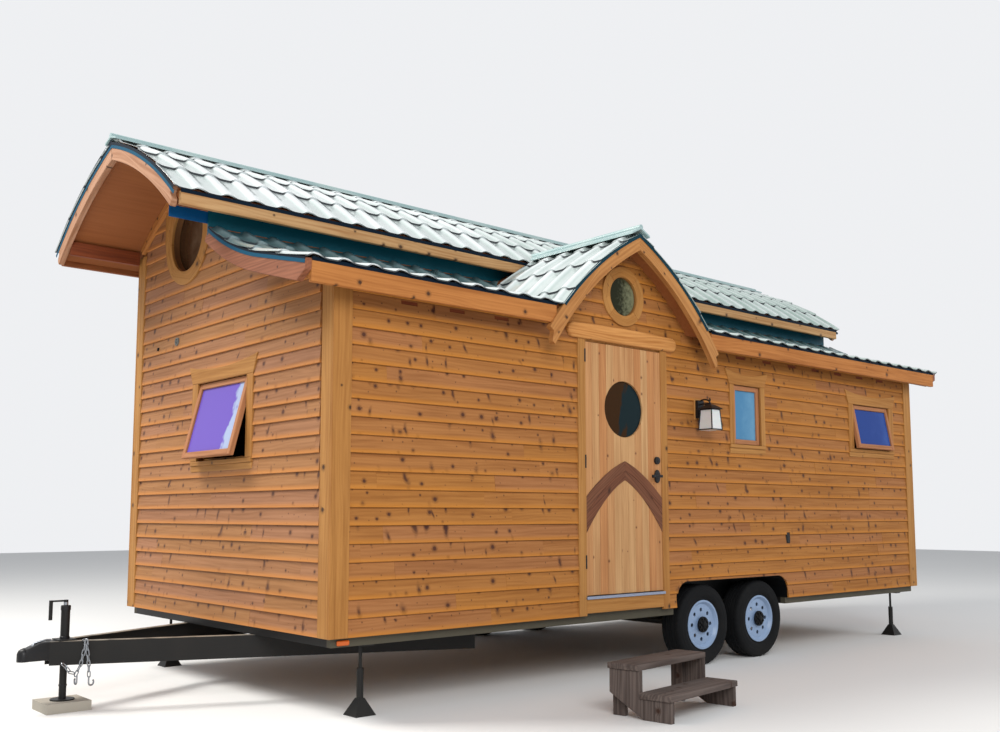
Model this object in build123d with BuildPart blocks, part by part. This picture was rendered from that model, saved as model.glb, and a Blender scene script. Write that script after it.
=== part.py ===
import os
from dataclasses import dataclass
from math import asin, atan2, ceil, cos, floor, hypot, radians, sin, sqrt, tan

from build123d import *

# A timber house on a two-axle trailer. Millimetres, +Z up, X along the house with the hitch at -X,
# and the wall with the door facing -Y. The origin is on the ground under the middle of the whole part.

# House body
house_length = 7260.0
house_width = 3086.0
wall_thickness = 130.0
siding_bottom = 500.0
siding_thickness = 20.0
deck_height = 577.0
floor_thickness = 63.0
door_wall_height = 2760.0
clerestory_inset = 1144.0
clerestory_thickness = 90.0
corner_board_width = 140.0
corner_board_end_width = 115.0
corner_board_thickness = 22.0
corner_board_drop = 70.0
far_corner_board_drop = 40.0

# Roofs: thickness of the boarded deck and of the metal tiles on it, and how far they run past the walls
deck_thickness = 60.0
tile_thickness = 40.0
tile_lip = 14.0
eave_overhang = 190.0
arch_overhang = 657.0
skirt_overhang = 330.0
rear_overhang = 275.0
fascia_thickness = 38.0
upper_fascia_height = 92.0
eave_fascia_height = 140.0
gable_board_thickness = 45.0
gable_board_depth = 124.0
board_foot_reach = 8.0
rafter_thickness = 38.0
foot_beam_width = 38.0
foot_beam_height = 112.0
roof_room = 100.0

# Metal tiles: a plain sheet, and on it one wave to a pitch, in courses that lift towards their lower edges.
# A wave is given by shares of its pitch, each with its height over the deck.
tile_sheet = 3.0
tile_pitch = 212.0
tile_pan = 4.5
tile_crown = 26.0
tile_wave = ((0.06, tile_crown), (0.52, tile_pan), (0.8, tile_pan))
course_exposure = 372.0
course_base = 1.0
course_lift = 12.0
course_sag = 0.9
shortest_course = 60.0
ridge_block_run = 95.0
skirt_course_inset = 7.0

# Upper roof: a pointed arch of two long curved limbs over the middle of the loft
upper_middle = 2115.0
upper_apex = 4036.0
upper_radius = 3250.0
upper_apex_slope = 16.8

# Skirt roof on the door side: straight at the eave, then curving up to the clerestory
skirt_eave_top = 2780.0
skirt_slope = 14.0
skirt_straight_run = 580.0
skirt_radius = 2400.0
skirt_board_eave_depth = 150.0
skirt_board_top_depth = 112.0
skirt_board_end = 70.0
skirt_board_nose = 25.0

# Dormer over the door
dormer_shift = 5.0
dormer_apex = 3455.0
dormer_radius = 2635.0
dormer_apex_slope = 26.4
dormer_overhang = 202.0
dormer_board_depth = 110.0
dormer_foot_run = 1031.0
dormer_deck_inset = 60.0

# Ridge caps
ridge_cap_width = 210.0
ridge_cap_thickness = 14.0
ridge_roll_radius = 22.0

# Doorway and door
door_middle = 2665.0
door_width = 890.0
door_height = 1937.0
door_thickness = 45.0
door_gap = 6.0
door_set_out = 16.0
door_stop_width = 15.0
jamb_thickness = 22.0
doorway_bottom = 643.0
threshold_height = 20.0
door_window_radius = 222.0
door_window_height = 2082.0
door_glass_thickness = 6.0
casing_width = 80.0
casing_thickness = 24.0
casing_reveal = 10.0
lintel_overhang = 105.0
lintel_height = 118.0
lintel_thickness = 42.0
lintel_crown = 12.0
threshold_nose = 12.0
sill_board_height = 105.0
hinge_radius = 7.0
hinge_length = 100.0
hinge_pin_radius = 3.5
hinge_plate = 2.0
hinge_shares = (0.13, 0.52, 0.94)
lever_height = 1562.0
lever_backset = 62.0
lever_length = 112.0
lever_reach = 58.0
lever_inner_reach = 48.0
lever_width = 20.0
lever_thickness = 14.0
rose_width = 62.0
rose_height = 104.0
rose_thickness = 12.0
lever_spindle_radius = 8.0
spindle_clearance = 0.05
end_clearance = 0.5
bolt_height = 1690.0
bolt_radius = 29.0
bolt_reach = 16.0
inlay_thickness = 5.0
inlay_apex = 1672.0
inlay_apex_width = 148.0
inlay_foot_top = 1386.0
inlay_foot_bottom = 1110.0
inlay_bulge = 34.0
inlay_low_bulge = 54.0

# Windows: an opening in the wall, a sash in it, a board casing round it with a hollow-topped head board.
# The places of those on the side walls are measured from the door or from the rear end.
window_casing_width = 62.0
awning_casing_width = 88.0
end_casing_width = 92.0
window_casing_thickness = 22.0
window_apron = 80.0
window_head_height = 92.0
window_horn_height = 138.0
window_head_flare = 58.0
narrow_window_setback = 1643.0
narrow_window_height = 2138.0
narrow_window_size = (404.0, 530.0)
awning_window_inset = 800.0
awning_window_height = 2142.0
awning_window_size = (706.0, 452.0)
far_window_distance = 1600.0
far_window_inset = 1360.0
end_window_inset = 1497.0
end_window_height = 1946.0
end_window_size = (776.0, 588.0)
sash_width = 42.0
sash_thickness = 36.0
sash_gap = 4.0
window_stop_width = 18.0
window_stop_margin = 12.0
glass_thickness = 6.0
awning_angle = 10.0
end_awning_angle = 14.0
round_window_radius = 286.0
round_trim_width = 104.0
round_trim_thickness = 24.0
round_trim_lap = 4.0
gable_window_radius = 160.0
gable_window_height = 2988.0
gable_trim_width = 80.0
loft_window_inset = 2165.0
loft_window_height = 3449.0

# Trailer
rail_width = 50.0
rail_inset = 25.0
rail_bottom = 443.0
crossmember_spacing = 900.0
crossmember_height = 60.0
tongue_beam_height = 152.0
tongue_beam_width = 50.0
tongue_web = 7.0
tongue_flange = 9.0
tongue_start_offset = 30.0
tongue_reach = 1463.0
tongue_spread = 377.0
coupler_reach = 1337.0
coupler_length = 250.0
coupler_width = 84.0
coupler_height = 118.0
coupler_overlap = 93.0
ball_socket_radius = 29.8
ball_socket_depth = 48.0
jack_distance = 1046.0
jack_tube_radius = 28.0
jack_tube_top = 665.0
jack_tube_drop = 140.0
jack_foot_radius = 75.0
jack_plate = 8.0
jack_plate_length = 110.0
jack_plate_width = 150.0
jack_inner_radius = 23.0
jack_block_size = 280.0
jack_block_height = 62.0
crank_reach = 95.0
crank_rise = 30.0
crank_hub_radius = 14.0
crank_rod_radius = 6.0
crank_grip_radius = 12.0
crank_grip_length = 120.0
stand_distance = 303.0
rear_stand_inset = 300.0
stand_inset = 120.0
stand_tube_radius = 22.0
stand_screw_radius = 11.0
stand_tube_top = 290.0
stand_head = 80.0
stand_plate = 8.0
stand_foot_size = 150.0
stand_foot_height = 105.0

# Wheels and axles
wheel_setback = 1415.0
axle_spacing = 800.0
tyre_radius = 335.0
tyre_width = 200.0
tyre_inset = 22.0
tyre_bead = 12.0
tyre_bulge = 14.0
tyre_shoulder = 32.0
rim_radius = 203.0
rim_wall = 14.0
rim_step = 34.0
rim_dish = 34.0
rim_disc = 8.0
rim_hole_count = 8
rim_hole_radius = 17.0
rim_hole_circle = 122.0
hub_radius = 58.0
hub_reach = 24.0
hub_length = 70.0
spindle_radius = 17.5
axle_tube_radius = 30.0
wheel_clearance = 0.05
arch_width = 1600.0
arch_top = 706.0
arch_corner = 150.0
well_depth = 300.0
well_room = 10.0
well_skin = 4.0
axle_tube_inset = 232.0
spindle_inset = 60.0
spring_width = 50.0
spring_lift = 40.0
spring_end = 12.0
spring_pack = 26.0
hanger_length = 44.0
hanger_rise = 36.0

# Step stool in front of the door
step_distance = 1906.0
step_reach = 1097.0
step_turn = 8.0
step_width = 830.0
step_rise = 165.0
step_tread_depth = 235.0
step_tread_thickness = 38.0
step_side_thickness = 38.0
step_side_inset = 10.0
step_leg_width = 89.0
step_notch = 0.12

# Lantern and small fittings on the wall
lantern_setback = 939.0
lantern_height = 2143.0
lantern_board_width = 110.0
lantern_board_height = 180.0
lantern_board_thickness = 20.0
lantern_box_width = 84.0
lantern_box_height = 150.0
lantern_box_depth = 24.0
lantern_reach = 140.0
lantern_arm = 14.0
lantern_cap_size = 160.0
lantern_cap_crown = 44.0
lantern_cap_height = 40.0
lantern_cap_bottom = 2138.0
lantern_glass_top = 112.0
lantern_glass_foot = 138.0
lantern_glass_height = 178.0
inlet_setback = 820.0
inlet_height = 1042.0
inlet_width = 56.0
inlet_rise = 100.0
inlet_depth = 20.0
vent_inset = 2304.0
vent_height = 2619.0
vent_size = 66.0
vent_depth = 14.0
marker_distance = 105.0
marker_lift = 10.0
marker_width = 90.0
marker_height = 32.0
marker_depth = 18.0


# The whole part's reach past the walls, which puts the origin under its middle
metal_lip = eave_overhang + tile_lip
total_length = coupler_reach + house_length + rear_overhang + tile_lip
step_span = step_width / 2 * sin(radians(step_turn)) + step_tread_depth * cos(radians(step_turn))
total_width = step_reach + step_span + house_width + metal_lip
hitch_wall_x = coupler_reach - total_length / 2
door_wall_y = step_reach + step_span - total_width / 2


def along(distance):
    """X of a point this far behind the outside of the hitch-end wall."""
    return hitch_wall_x + distance


def across(distance):
    """Y of a point this far inside the outside of the door-side wall."""
    return door_wall_y + distance


house_middle_y = across(house_width / 2)
dormer_middle = door_middle + dormer_shift
wheel_middle = door_middle + wheel_setback
doorway_width = door_width + 2 * door_gap + 2 * jamb_thickness
doorway_top = doorway_bottom + door_height + door_gap + jamb_thickness
lantern_x = along(door_middle + lantern_setback)
inlet_x = along(wheel_middle + inlet_setback)
wheel_axes = (wheel_middle - axle_spacing / 2, wheel_middle + axle_spacing / 2)
arch_ends = (wheel_middle - arch_width / 2, wheel_middle + arch_width / 2)
sides = ((across(0), 1), (across(house_width), -1))


@dataclass(frozen=True)
class Arch:
    """A pointed arch of two mirrored circular limbs, set by the top line of its boards."""

    middle: float
    apex: float
    radius: float
    apex_slope: float

    def point(self, depth, run):
        """Point at a depth below the top line, this far to either side of the middle."""
        shift = self.radius * sin(radians(self.apex_slope))
        centre = self.apex - self.radius * cos(radians(self.apex_slope))
        reach = self.radius - depth
        return self.middle + run, centre + sqrt(reach**2 - (abs(run) + shift) ** 2)

    def run_at(self, depth, height):
        """Run at which the line at a depth comes down to a height."""
        shift = self.radius * sin(radians(self.apex_slope))
        centre = self.apex - self.radius * cos(radians(self.apex_slope))
        return sqrt((self.radius - depth) ** 2 - (height - centre) ** 2) - shift

    def square_run(self, depth, run):
        """Run at a depth where a cut square to the limb at the given run ends."""
        shift = self.radius * sin(radians(self.apex_slope))
        return (self.radius - depth) * (run + shift) / self.radius - shift

    def arc(self, depth, start, end):
        """Three points of the limb's curve between two runs."""
        return [self.point(depth, run) for run in (start, (start + end) / 2, end)]

    def down(self, run, lift=0.0):
        """Distance down a limb to the point that lies this far out at a lift."""
        shift = self.radius * sin(radians(self.apex_slope))
        return self.radius * (asin((run + shift) / (self.radius + lift)) - radians(self.apex_slope))

    def at(self, distance, lift, side):
        """Point this far down a limb from the apex, lifted square off it."""
        turn = radians(self.apex_slope) + distance / self.radius
        shift = self.radius * sin(radians(self.apex_slope))
        centre = self.apex - self.radius * cos(radians(self.apex_slope))
        reach = self.radius + lift
        return self.middle + side * (reach * sin(turn) - shift), centre + reach * cos(turn)


upper = Arch(across(upper_middle), upper_apex, upper_radius, upper_apex_slope)
dormer = Arch(along(dormer_middle), dormer_apex, dormer_radius, dormer_apex_slope)
loft_run = house_width - upper_middle
upper_run = loft_run + eave_overhang
eave_y = across(-eave_overhang)
band_y = across(clerestory_inset - siding_thickness)


@dataclass(frozen=True)
class Skirt:
    """The flared line of the lower roof: a straight slope at the eave, then a rising curve."""

    eave: float
    height: float
    slope: float
    straight: float
    radius: float

    def z(self, depth, y):
        """Height of the line at a depth under the boards' top."""
        angle = radians(self.slope)
        bend_y = self.eave + self.straight
        bend_z = self.height + self.straight * tan(angle)
        if y <= bend_y + depth * sin(angle):
            return self.height + (y - self.eave) * tan(angle) - depth / cos(angle)
        centre_y = bend_y - self.radius * sin(angle)
        centre_z = bend_z + self.radius * cos(angle)
        return centre_z - sqrt((self.radius + depth) ** 2 - (y - centre_y) ** 2)

    def bend(self, depth):
        """Y where the straight part ends at a depth."""
        return self.eave + self.straight + depth * sin(radians(self.slope))

    def point(self, depth, y):
        """Point of the line at a depth."""
        return y, self.z(depth, y)

    def up(self, y):
        """Distance up the line from the eave to a Y past its straight part."""
        angle = radians(self.slope)
        turn = asin((y - self.bend(0)) / self.radius + sin(angle))
        return self.straight / cos(angle) + self.radius * (turn - angle)

    def at(self, distance, lift):
        """Point this far up the line from the eave, lifted square off it."""
        angle = radians(self.slope)
        past = distance - self.straight / cos(angle)
        if past <= 0:
            return (self.eave + distance * cos(angle) - lift * sin(angle),
                    self.height + distance * sin(angle) + lift * cos(angle))
        turn = angle + past / self.radius
        centre_y = self.bend(0) - self.radius * sin(angle)
        centre_z = self.height + self.straight * tan(angle) + self.radius * cos(angle)
        return centre_y + (self.radius - lift) * sin(turn), centre_z - (self.radius - lift) * cos(turn)


skirt = Skirt(eave_y, skirt_eave_top, skirt_slope, skirt_straight_run, skirt_radius)


def block(x_ends, y_ends, z_ends, mode=Mode.ADD):
    """Add a box between two values on each axis to the sub-part that is being made."""
    middle = [(ends[0] + ends[1]) / 2 for ends in (x_ends, y_ends, z_ends)]
    size = [abs(ends[1] - ends[0]) for ends in (x_ends, y_ends, z_ends)]
    with Locations(tuple(middle)):
        Box(*size, mode=mode)


def rod(start, end, radius, mode=Mode.ADD):
    """Add a round bar between two points."""
    run = Vector(*end) - Vector(*start)
    with BuildSketch(Plane(origin=start, z_dir=run)) as section:
        Circle(radius)
    extrude(section.sketch, amount=run.length, mode=mode)


def finish(sub_part, name):
    """Label a finished sub-part and write it."""
    sub_part.part.label = name
    export_step(sub_part.part, f"parts/{name}.step")


def ring(plane, arch, top, bottom, run, square=False):
    """Section of a band that follows an arch between two depths, with upright or square-cut feet."""
    low_run = arch.square_run(bottom, run) if square else run
    with BuildSketch(plane) as section:
        for side in (1, -1):
            outer = arch.arc(top, 0, side * run)
            inner = arch.arc(bottom, side * low_run, 0)
            with BuildLine():
                ThreePointArc(*outer)
                Line(outer[-1], inner[0])
                ThreePointArc(*inner)
                Line(inner[-1], outer[0])
            make_face()
    return section.sketch


def vault(plane, arch, depth, run, floor):
    """Section of everything under an arch at a depth, down to a level."""
    with BuildSketch(plane) as section:
        for side in (1, -1):
            outer = arch.arc(depth, 0, side * run)
            foot = [(outer[-1][0], floor)] if outer[-1][1] > floor + 1 else []
            with BuildLine():
                ThreePointArc(*outer)
                Polyline(outer[-1], *foot, (arch.middle, floor), outer[0])
            make_face()
    return section.sketch


def skirt_band(plane, top, bottom, start, end):
    """Section of a band that follows the skirt roof between two depths."""
    with BuildSketch(plane) as section:
        with BuildLine():
            high = [skirt.point(top, y) for y in (start, skirt.bend(top), end)]
            low = [skirt.point(bottom, y) for y in (start, skirt.bend(bottom), end)]
            Line(high[0], high[1])
            ThreePointArc(high[1], skirt.point(top, (skirt.bend(top) + end) / 2), high[2])
            Line(high[2], low[2])
            ThreePointArc(low[2], skirt.point(bottom, (skirt.bend(bottom) + end) / 2), low[1])
            Line(low[1], low[0])
            Line(low[0], high[0])
        make_face()
    return section.sketch


def under_skirt(plane, depth, start, end, floor):
    """Section of everything under the skirt roof at a depth, down to a level."""
    with BuildSketch(plane) as section:
        with BuildLine():
            high = [skirt.point(depth, y) for y in (start, skirt.bend(depth), end)]
            Line(high[0], high[1])
            ThreePointArc(high[1], skirt.point(depth, (skirt.bend(depth) + end) / 2), high[2])
            Polyline(high[2], (end, floor), (start, floor), high[0])
        make_face()
    return section.sketch


def at_x(distance):
    """Upright plane across the house, this far behind the hitch-end wall."""
    return Plane.YZ.offset(along(distance))


def at_y(distance):
    """Upright plane along the house, this far inside the door-side wall, facing the door side."""
    return Plane.XZ.offset(-across(distance))


# Regions that the roofs cut out of each other
dormer_room_start = at_y(-dormer_overhang - roof_room)
dormer_room_length = -(dormer_overhang + roof_room + clerestory_inset)
with BuildPart() as dormer_room:
    extrude(vault(dormer_room_start, dormer, 0, dormer_foot_run, siding_bottom), amount=dormer_room_length)
with BuildPart() as dormer_shell:
    extrude(vault(dormer_room_start, dormer, -tile_sheet, dormer_foot_run, siding_bottom),
            amount=dormer_room_length)
upper_fascia_top = upper.point(0, upper_run)[1]
upper_fascia_bottom = upper_fascia_top - upper_fascia_height
dormer_ends = (dormer_middle - dormer_foot_run - roof_room, dormer_middle + dormer_foot_run + roof_room)
with BuildPart() as upper_room:
    extrude(vault(at_x(dormer_ends[0]), upper, -tile_thickness, upper_run + tile_lip, upper_fascia_bottom),
            amount=dormer_ends[1] - dormer_ends[0])
with BuildPart() as skirt_room:
    extrude(under_skirt(at_x(dormer_ends[0]), 0, eave_y - roof_room, band_y, siding_bottom),
            amount=dormer_ends[1] - dormer_ends[0])
with BuildPart() as skirt_shell:
    extrude(under_skirt(at_x(dormer_ends[0]), -tile_thickness, eave_y - roof_room, band_y, siding_bottom),
            amount=dormer_ends[1] - dormer_ends[0])
with BuildPart() as skirt_deck_room:
    extrude(under_skirt(at_x(dormer_ends[0]), deck_thickness, eave_y - roof_room, band_y, siding_bottom),
            amount=dormer_ends[1] - dormer_ends[0])


# Windows
@dataclass(frozen=True)
class Window:
    """A rectangular window: the wall's outer plane at the middle of the opening, its size, casing and tilt."""

    plane: Plane
    size: tuple
    casing: float
    tilt: float = 0.0

    @property
    def width(self):
        """Width of the opening."""
        return self.size[0]

    @property
    def height(self):
        """Height of the opening."""
        return self.size[1]

    def sash_plane(self):
        """Outer face of the sash, swung out about its top edge, with its back edge on the stops."""
        set_back = sash_thickness * (1 - cos(radians(self.tilt)))
        hinge = Location((0, self.height / 2 - sash_gap, -set_back), (-self.tilt, 0, 0))
        return Plane(self.plane.location * hinge)


def wall_plane(wall, distance, height):
    """Plane on the outside of a wall, facing out, with its own Y upwards."""
    places = {
        "door side": ((along(distance), across(0), height), (1, 0, 0), (0, -1, 0)),
        "far side": ((along(distance), across(house_width), height), (-1, 0, 0), (0, 1, 0)),
        "hitch end": ((along(0), across(distance), height), (0, -1, 0), (-1, 0, 0)),
        "rear end": ((along(house_length), across(distance), height), (0, 1, 0), (1, 0, 0)),
    }
    origin, x_dir, z_dir = places[wall]
    return Plane(origin=origin, x_dir=x_dir, z_dir=z_dir)


narrow_window = Window(wall_plane("door side", door_middle + narrow_window_setback, narrow_window_height),
                       narrow_window_size, window_casing_width)
awning_window = Window(wall_plane("door side", house_length - awning_window_inset, awning_window_height),
                       awning_window_size, awning_casing_width, awning_angle)
hitch_window = Window(wall_plane("hitch end", end_window_inset, end_window_height),
                      end_window_size, end_casing_width, end_awning_angle)
rear_window = Window(wall_plane("rear end", end_window_inset, end_window_height),
                     end_window_size, end_casing_width)
far_windows = []
for place in (far_window_distance, house_length - far_window_inset):
    far_windows.append(Window(wall_plane("far side", place, awning_window_height),
                              awning_window_size, awning_casing_width))
windows = [narrow_window, awning_window, hitch_window, rear_window, *far_windows]
round_windows = [
    (wall_plane("hitch end", loft_window_inset, loft_window_height), round_window_radius, round_trim_width),
    (wall_plane("rear end", loft_window_inset, loft_window_height), round_window_radius, round_trim_width),
    (wall_plane("door side", dormer_middle, gable_window_height), gable_window_radius, gable_trim_width),
]


def cut_window(window):
    """Cut a rectangular window through its wall."""
    with BuildSketch(window.plane.offset(wall_thickness)) as hole:
        Rectangle(window.width, window.height)
    extrude(hole.sketch, amount=-3 * wall_thickness, mode=Mode.SUBTRACT)


def cut_round_window(plane, radius):
    """Cut a round window through its wall."""
    with BuildSketch(plane.offset(wall_thickness)) as hole:
        Circle(radius)
    extrude(hole.sketch, amount=-3 * wall_thickness, mode=Mode.SUBTRACT)


def wheel_arch(side_y, direction, depth, inset=0.0, mode=Mode.ADD):
    """Add or cut the round-cornered arch over the wheels, from a side wall's face inwards."""
    corner = arch_corner - inset
    plane = Plane(origin=(along(wheel_middle), side_y, rail_bottom), x_dir=(1, 0, 0), z_dir=(0, -1, 0))
    half = arch_width / 2 - inset
    top = arch_top - rail_bottom - inset
    with BuildSketch(plane) as opening:
        with BuildLine():
            Polyline((-half, top - corner), (-half, 0), (half, 0), (half, top - corner))
            RadiusArc((half, top - corner), (half - corner, top), -corner)
            Line((half - corner, top), (corner - half, top))
            RadiusArc((corner - half, top), (-half, top - corner), -corner)
        make_face()
    extrude(opening.sketch, amount=-direction * depth, mode=mode)


# End walls, shaped to the underside of both roofs
def end_wall(name, inner, outer, lap, loft):
    """Make one end wall from its inner to its outer face, with its siding lapped over the frame."""
    plane = at_x(min(inner, outer))
    with BuildPart() as wall:
        extrude(vault(plane, upper, deck_thickness, loft_run, deck_height), amount=wall_thickness)
        extrude(under_skirt(plane, deck_thickness, across(0), across(clerestory_inset), deck_height),
                amount=wall_thickness)
        block(lap, (across(0), across(house_width)), (siding_bottom, deck_height))
        cut_window(loft)
        for round_plane, radius, _ in round_windows[:2]:
            cut_round_window(round_plane, radius)
    finish(wall, name)


os.makedirs("parts", exist_ok=True)
end_wall("front_wall", wall_thickness, 0, (along(0), along(siding_thickness)), hitch_window)
end_wall("rear_wall", house_length - wall_thickness, house_length,
         (along(house_length - siding_thickness), along(house_length)), rear_window)

# Door-side wall, in two pieces beside the doorway and one over it
inner_ends = (along(wall_thickness), along(house_length - wall_thickness))
doorway_ends = (along(door_middle - doorway_width / 2), along(door_middle + doorway_width / 2))
door_wall_y_ends = (across(0), across(wall_thickness))
far_wall_y_ends = (across(house_width - wall_thickness), across(house_width))
with BuildPart() as door_side_wall_front:
    block((inner_ends[0], doorway_ends[0]), door_wall_y_ends, (deck_height, door_wall_height))
    block((along(siding_thickness), doorway_ends[0]), (across(0), across(siding_thickness)),
          (siding_bottom, deck_height))
finish(door_side_wall_front, "door_side_wall_front")

with BuildPart() as door_side_wall_rear:
    block((doorway_ends[1], inner_ends[1]), door_wall_y_ends, (deck_height, door_wall_height))
    block((doorway_ends[1], along(house_length - siding_thickness)), (across(0), across(siding_thickness)),
          (siding_bottom, deck_height))
    cut_window(narrow_window)
    cut_window(awning_window)
    wheel_arch(across(-siding_thickness), 1, 2 * wall_thickness, mode=Mode.SUBTRACT)
finish(door_side_wall_rear, "door_side_wall_rear")

gable_run = dormer.run_at(deck_thickness, door_wall_height)
with BuildPart() as dormer_gable_wall:
    extrude(vault(at_y(0), dormer, deck_thickness, gable_run, door_wall_height), amount=-wall_thickness)
    block(doorway_ends, door_wall_y_ends, (doorway_top, door_wall_height))
    cut_round_window(round_windows[2][0], gable_window_radius)
finish(dormer_gable_wall, "dormer_gable_wall")

# Far side wall, up to the underside of the upper roof
far_outer = upper.point(deck_thickness, loft_run)
far_inner = upper.point(deck_thickness, loft_run - wall_thickness)
with BuildPart() as far_side_wall:
    with BuildSketch(at_x(wall_thickness)) as far_section:
        with BuildLine():
            Polyline(far_outer, (far_outer[0], deck_height), (far_inner[0], deck_height), far_inner,
                     close=True)
        make_face()
    extrude(far_section.sketch, amount=house_length - 2 * wall_thickness)
    block((along(siding_thickness), along(house_length - siding_thickness)),
          (across(house_width - siding_thickness), across(house_width)), (siding_bottom, deck_height))
    for far_window in far_windows:
        cut_window(far_window)
    wheel_arch(across(house_width + siding_thickness), -1, 2 * wall_thickness, mode=Mode.SUBTRACT)
finish(far_side_wall, "far_side_wall")

# Clerestory: the wall between the skirt roof and the upper roof
clerestory_ends = (across(clerestory_inset), across(clerestory_inset + clerestory_thickness))
clerestory_foot = skirt.z(deck_thickness, band_y) - deck_thickness
near_top = upper.point(deck_thickness, -(upper_middle - clerestory_inset))
far_top = upper.point(deck_thickness, -(upper_middle - clerestory_inset - clerestory_thickness))
with BuildPart() as clerestory_wall:
    with BuildSketch(at_x(wall_thickness)) as clerestory_section:
        with BuildLine():
            Polyline(near_top, (near_top[0], clerestory_foot), (far_top[0], clerestory_foot), far_top,
                     close=True)
        make_face()
    extrude(clerestory_section.sketch, amount=house_length - 2 * wall_thickness)
finish(clerestory_wall, "clerestory_wall")

band_top = upper.point(deck_thickness, -(upper_middle - clerestory_inset + siding_thickness))[1]
band_ends = (along(-skirt_overhang), along(house_length + rear_overhang - gable_board_thickness))
with BuildPart() as clerestory_band:
    block(band_ends, (band_y, across(clerestory_inset)),
          (skirt.z(deck_thickness, across(clerestory_inset)), band_top))
finish(clerestory_band, "clerestory_band")

# Floor, cut round the wheel wells
with BuildPart() as floor_deck:
    block(inner_ends, (across(wall_thickness), across(house_width - wall_thickness)),
          (deck_height, deck_height + floor_thickness))
    for side_y, direction in sides:
        wheel_arch(side_y, direction, well_depth, mode=Mode.SUBTRACT)
finish(floor_deck, "floor_deck")

# Corner boards, an L at each corner
corner_board_tops = ((across(0), 1, door_wall_height - corner_board_drop),
                     (across(house_width), -1, far_outer[1] - far_corner_board_drop))
with BuildPart() as corner_boards:
    for x, x_way in ((along(0), 1), (along(house_length), -1)):
        for y, y_way, top in corner_board_tops:
            outer_x = x - x_way * corner_board_thickness
            outer_y = y - y_way * corner_board_thickness
            heights = (siding_bottom, top)
            block((outer_x, x + x_way * (corner_board_width - corner_board_thickness)), (outer_y, y), heights)
            block((outer_x, x), (y, y + y_way * corner_board_end_width), heights)
finish(corner_boards, "corner_boards")


# Tiles
def wave(ends, reverse):
    """Outline of a course seen along the slope: a flat foot, and on top one crown to each pitch."""
    modules = range(floor(ends[0] / tile_pitch) - 1, ceil(ends[1] / tile_pitch) + 1)
    shares = [(1 - share if reverse else share, lift) for share, lift in tile_wave]
    crests = sorted(((module + share) * tile_pitch, lift) for module in modules for share, lift in shares)
    inside = [crest for crest in crests if ends[0] < crest[0] < ends[1]]
    return [(ends[0], course_base), (ends[0], tile_pan), *inside, (ends[1], tile_pan), (ends[1], course_base)]


def course(points, length_way, side_way, outline):
    """Add one course of tiles: its outline, turned about the centre of the arc through three points."""
    start, middle, end = [side_way * reach + Vector(0, 0, height) for reach, height in points]
    half, chord = middle - start, end - start
    normal = half.cross(chord)
    offset = (chord * half.length**2 - half * chord.length**2).cross(normal) * (0.5 / normal.length**2)
    arm = -offset
    up = arm.normalized() * (1 if arm.Z > 0 else -1)
    with BuildSketch(Plane(origin=start, x_dir=length_way, z_dir=length_way.cross(up))) as section:
        with BuildLine():
            Polyline(*outline, close=True)
        make_face()
    other_arm = end - start - offset
    centre_line = Axis(start + offset, arm.cross(other_arm))
    revolve(section.sketch, axis=centre_line, revolution_arc=arm.get_angle(other_arm), clean=False)


def courses(line, eave, length_way, side_way, ends, top=0.0, reverse=False):
    """Add the courses of one slope, laid from its eave up to a distance from its top."""
    outline = wave(ends, reverse)
    low = eave
    while low - top > shortest_course:
        high = max(low - course_exposure, top)
        start_lift = course_lift * (1 - (low - high) / course_exposure)
        middle_lift = (start_lift + course_lift) / 2 * course_sag
        points = (line(high, start_lift), line((high + low) / 2, middle_lift), line(low, course_lift))
        course(points, length_way, side_way, outline)
        low = high


# Upper roof
upper_deck_ends = (gable_board_thickness - arch_overhang, house_length + rear_overhang - gable_board_thickness)
metal_ends = (-arch_overhang - tile_lip, house_length + rear_overhang + tile_lip)
with BuildPart() as upper_roof_deck:
    extrude(ring(at_x(upper_deck_ends[0]), upper, 0, deck_thickness, upper_run - fascia_thickness),
            amount=upper_deck_ends[1] - upper_deck_ends[0])
finish(upper_roof_deck, "upper_roof_deck")

lengthways = Vector(1, 0, 0)
crossways = Vector(0, 1, 0)
crown_lift = tile_crown + course_lift
upper_courses_end = upper.down(upper_run + tile_lip, crown_lift)
with BuildPart() as upper_roof_metal:
    extrude(ring(at_x(metal_ends[0]), upper, -tile_sheet, 0, upper_run + tile_lip),
            amount=metal_ends[1] - metal_ends[0])
    extrude(ring(at_x(metal_ends[0]), upper, -tile_thickness, 0, ridge_block_run),
            amount=metal_ends[1] - metal_ends[0])
    for side in (1, -1):
        courses(lambda distance, lift: upper.at(distance, lift, side), upper_courses_end,
                lengthways, crossways, (along(metal_ends[0]), along(metal_ends[1])),
                upper.down(ridge_block_run) - tile_crown, side > 0)
finish(upper_roof_metal, "upper_roof_metal")

# Skirt roof, cut by the dormer into a front and a rear piece
skirt_deck_ends = (gable_board_thickness - skirt_overhang, upper_deck_ends[1])
skirt_metal_ends = (-skirt_overhang - tile_lip, house_length + rear_overhang + tile_lip)
with BuildPart() as skirt_roof_deck:
    extrude(skirt_band(at_x(skirt_deck_ends[0]), 0, deck_thickness, eave_y + fascia_thickness, band_y),
            amount=skirt_deck_ends[1] - skirt_deck_ends[0])
    add(dormer_room.part, mode=Mode.SUBTRACT)
finish(skirt_roof_deck, "skirt_roof_deck")

skirt_top = skirt.up(band_y)
with BuildPart() as skirt_roof_metal:
    extrude(skirt_band(at_x(skirt_metal_ends[0]), -tile_sheet, 0, eave_y - tile_lip, band_y),
            amount=skirt_metal_ends[1] - skirt_metal_ends[0])
    courses(lambda distance, lift: skirt.at(skirt_top - distance, lift), skirt_top + skirt_course_inset,
            lengthways, crossways, (along(skirt_metal_ends[0]), along(skirt_metal_ends[1])))
    add(dormer_shell.part, mode=Mode.SUBTRACT)
finish(skirt_roof_metal, "skirt_roof_metal")

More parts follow.
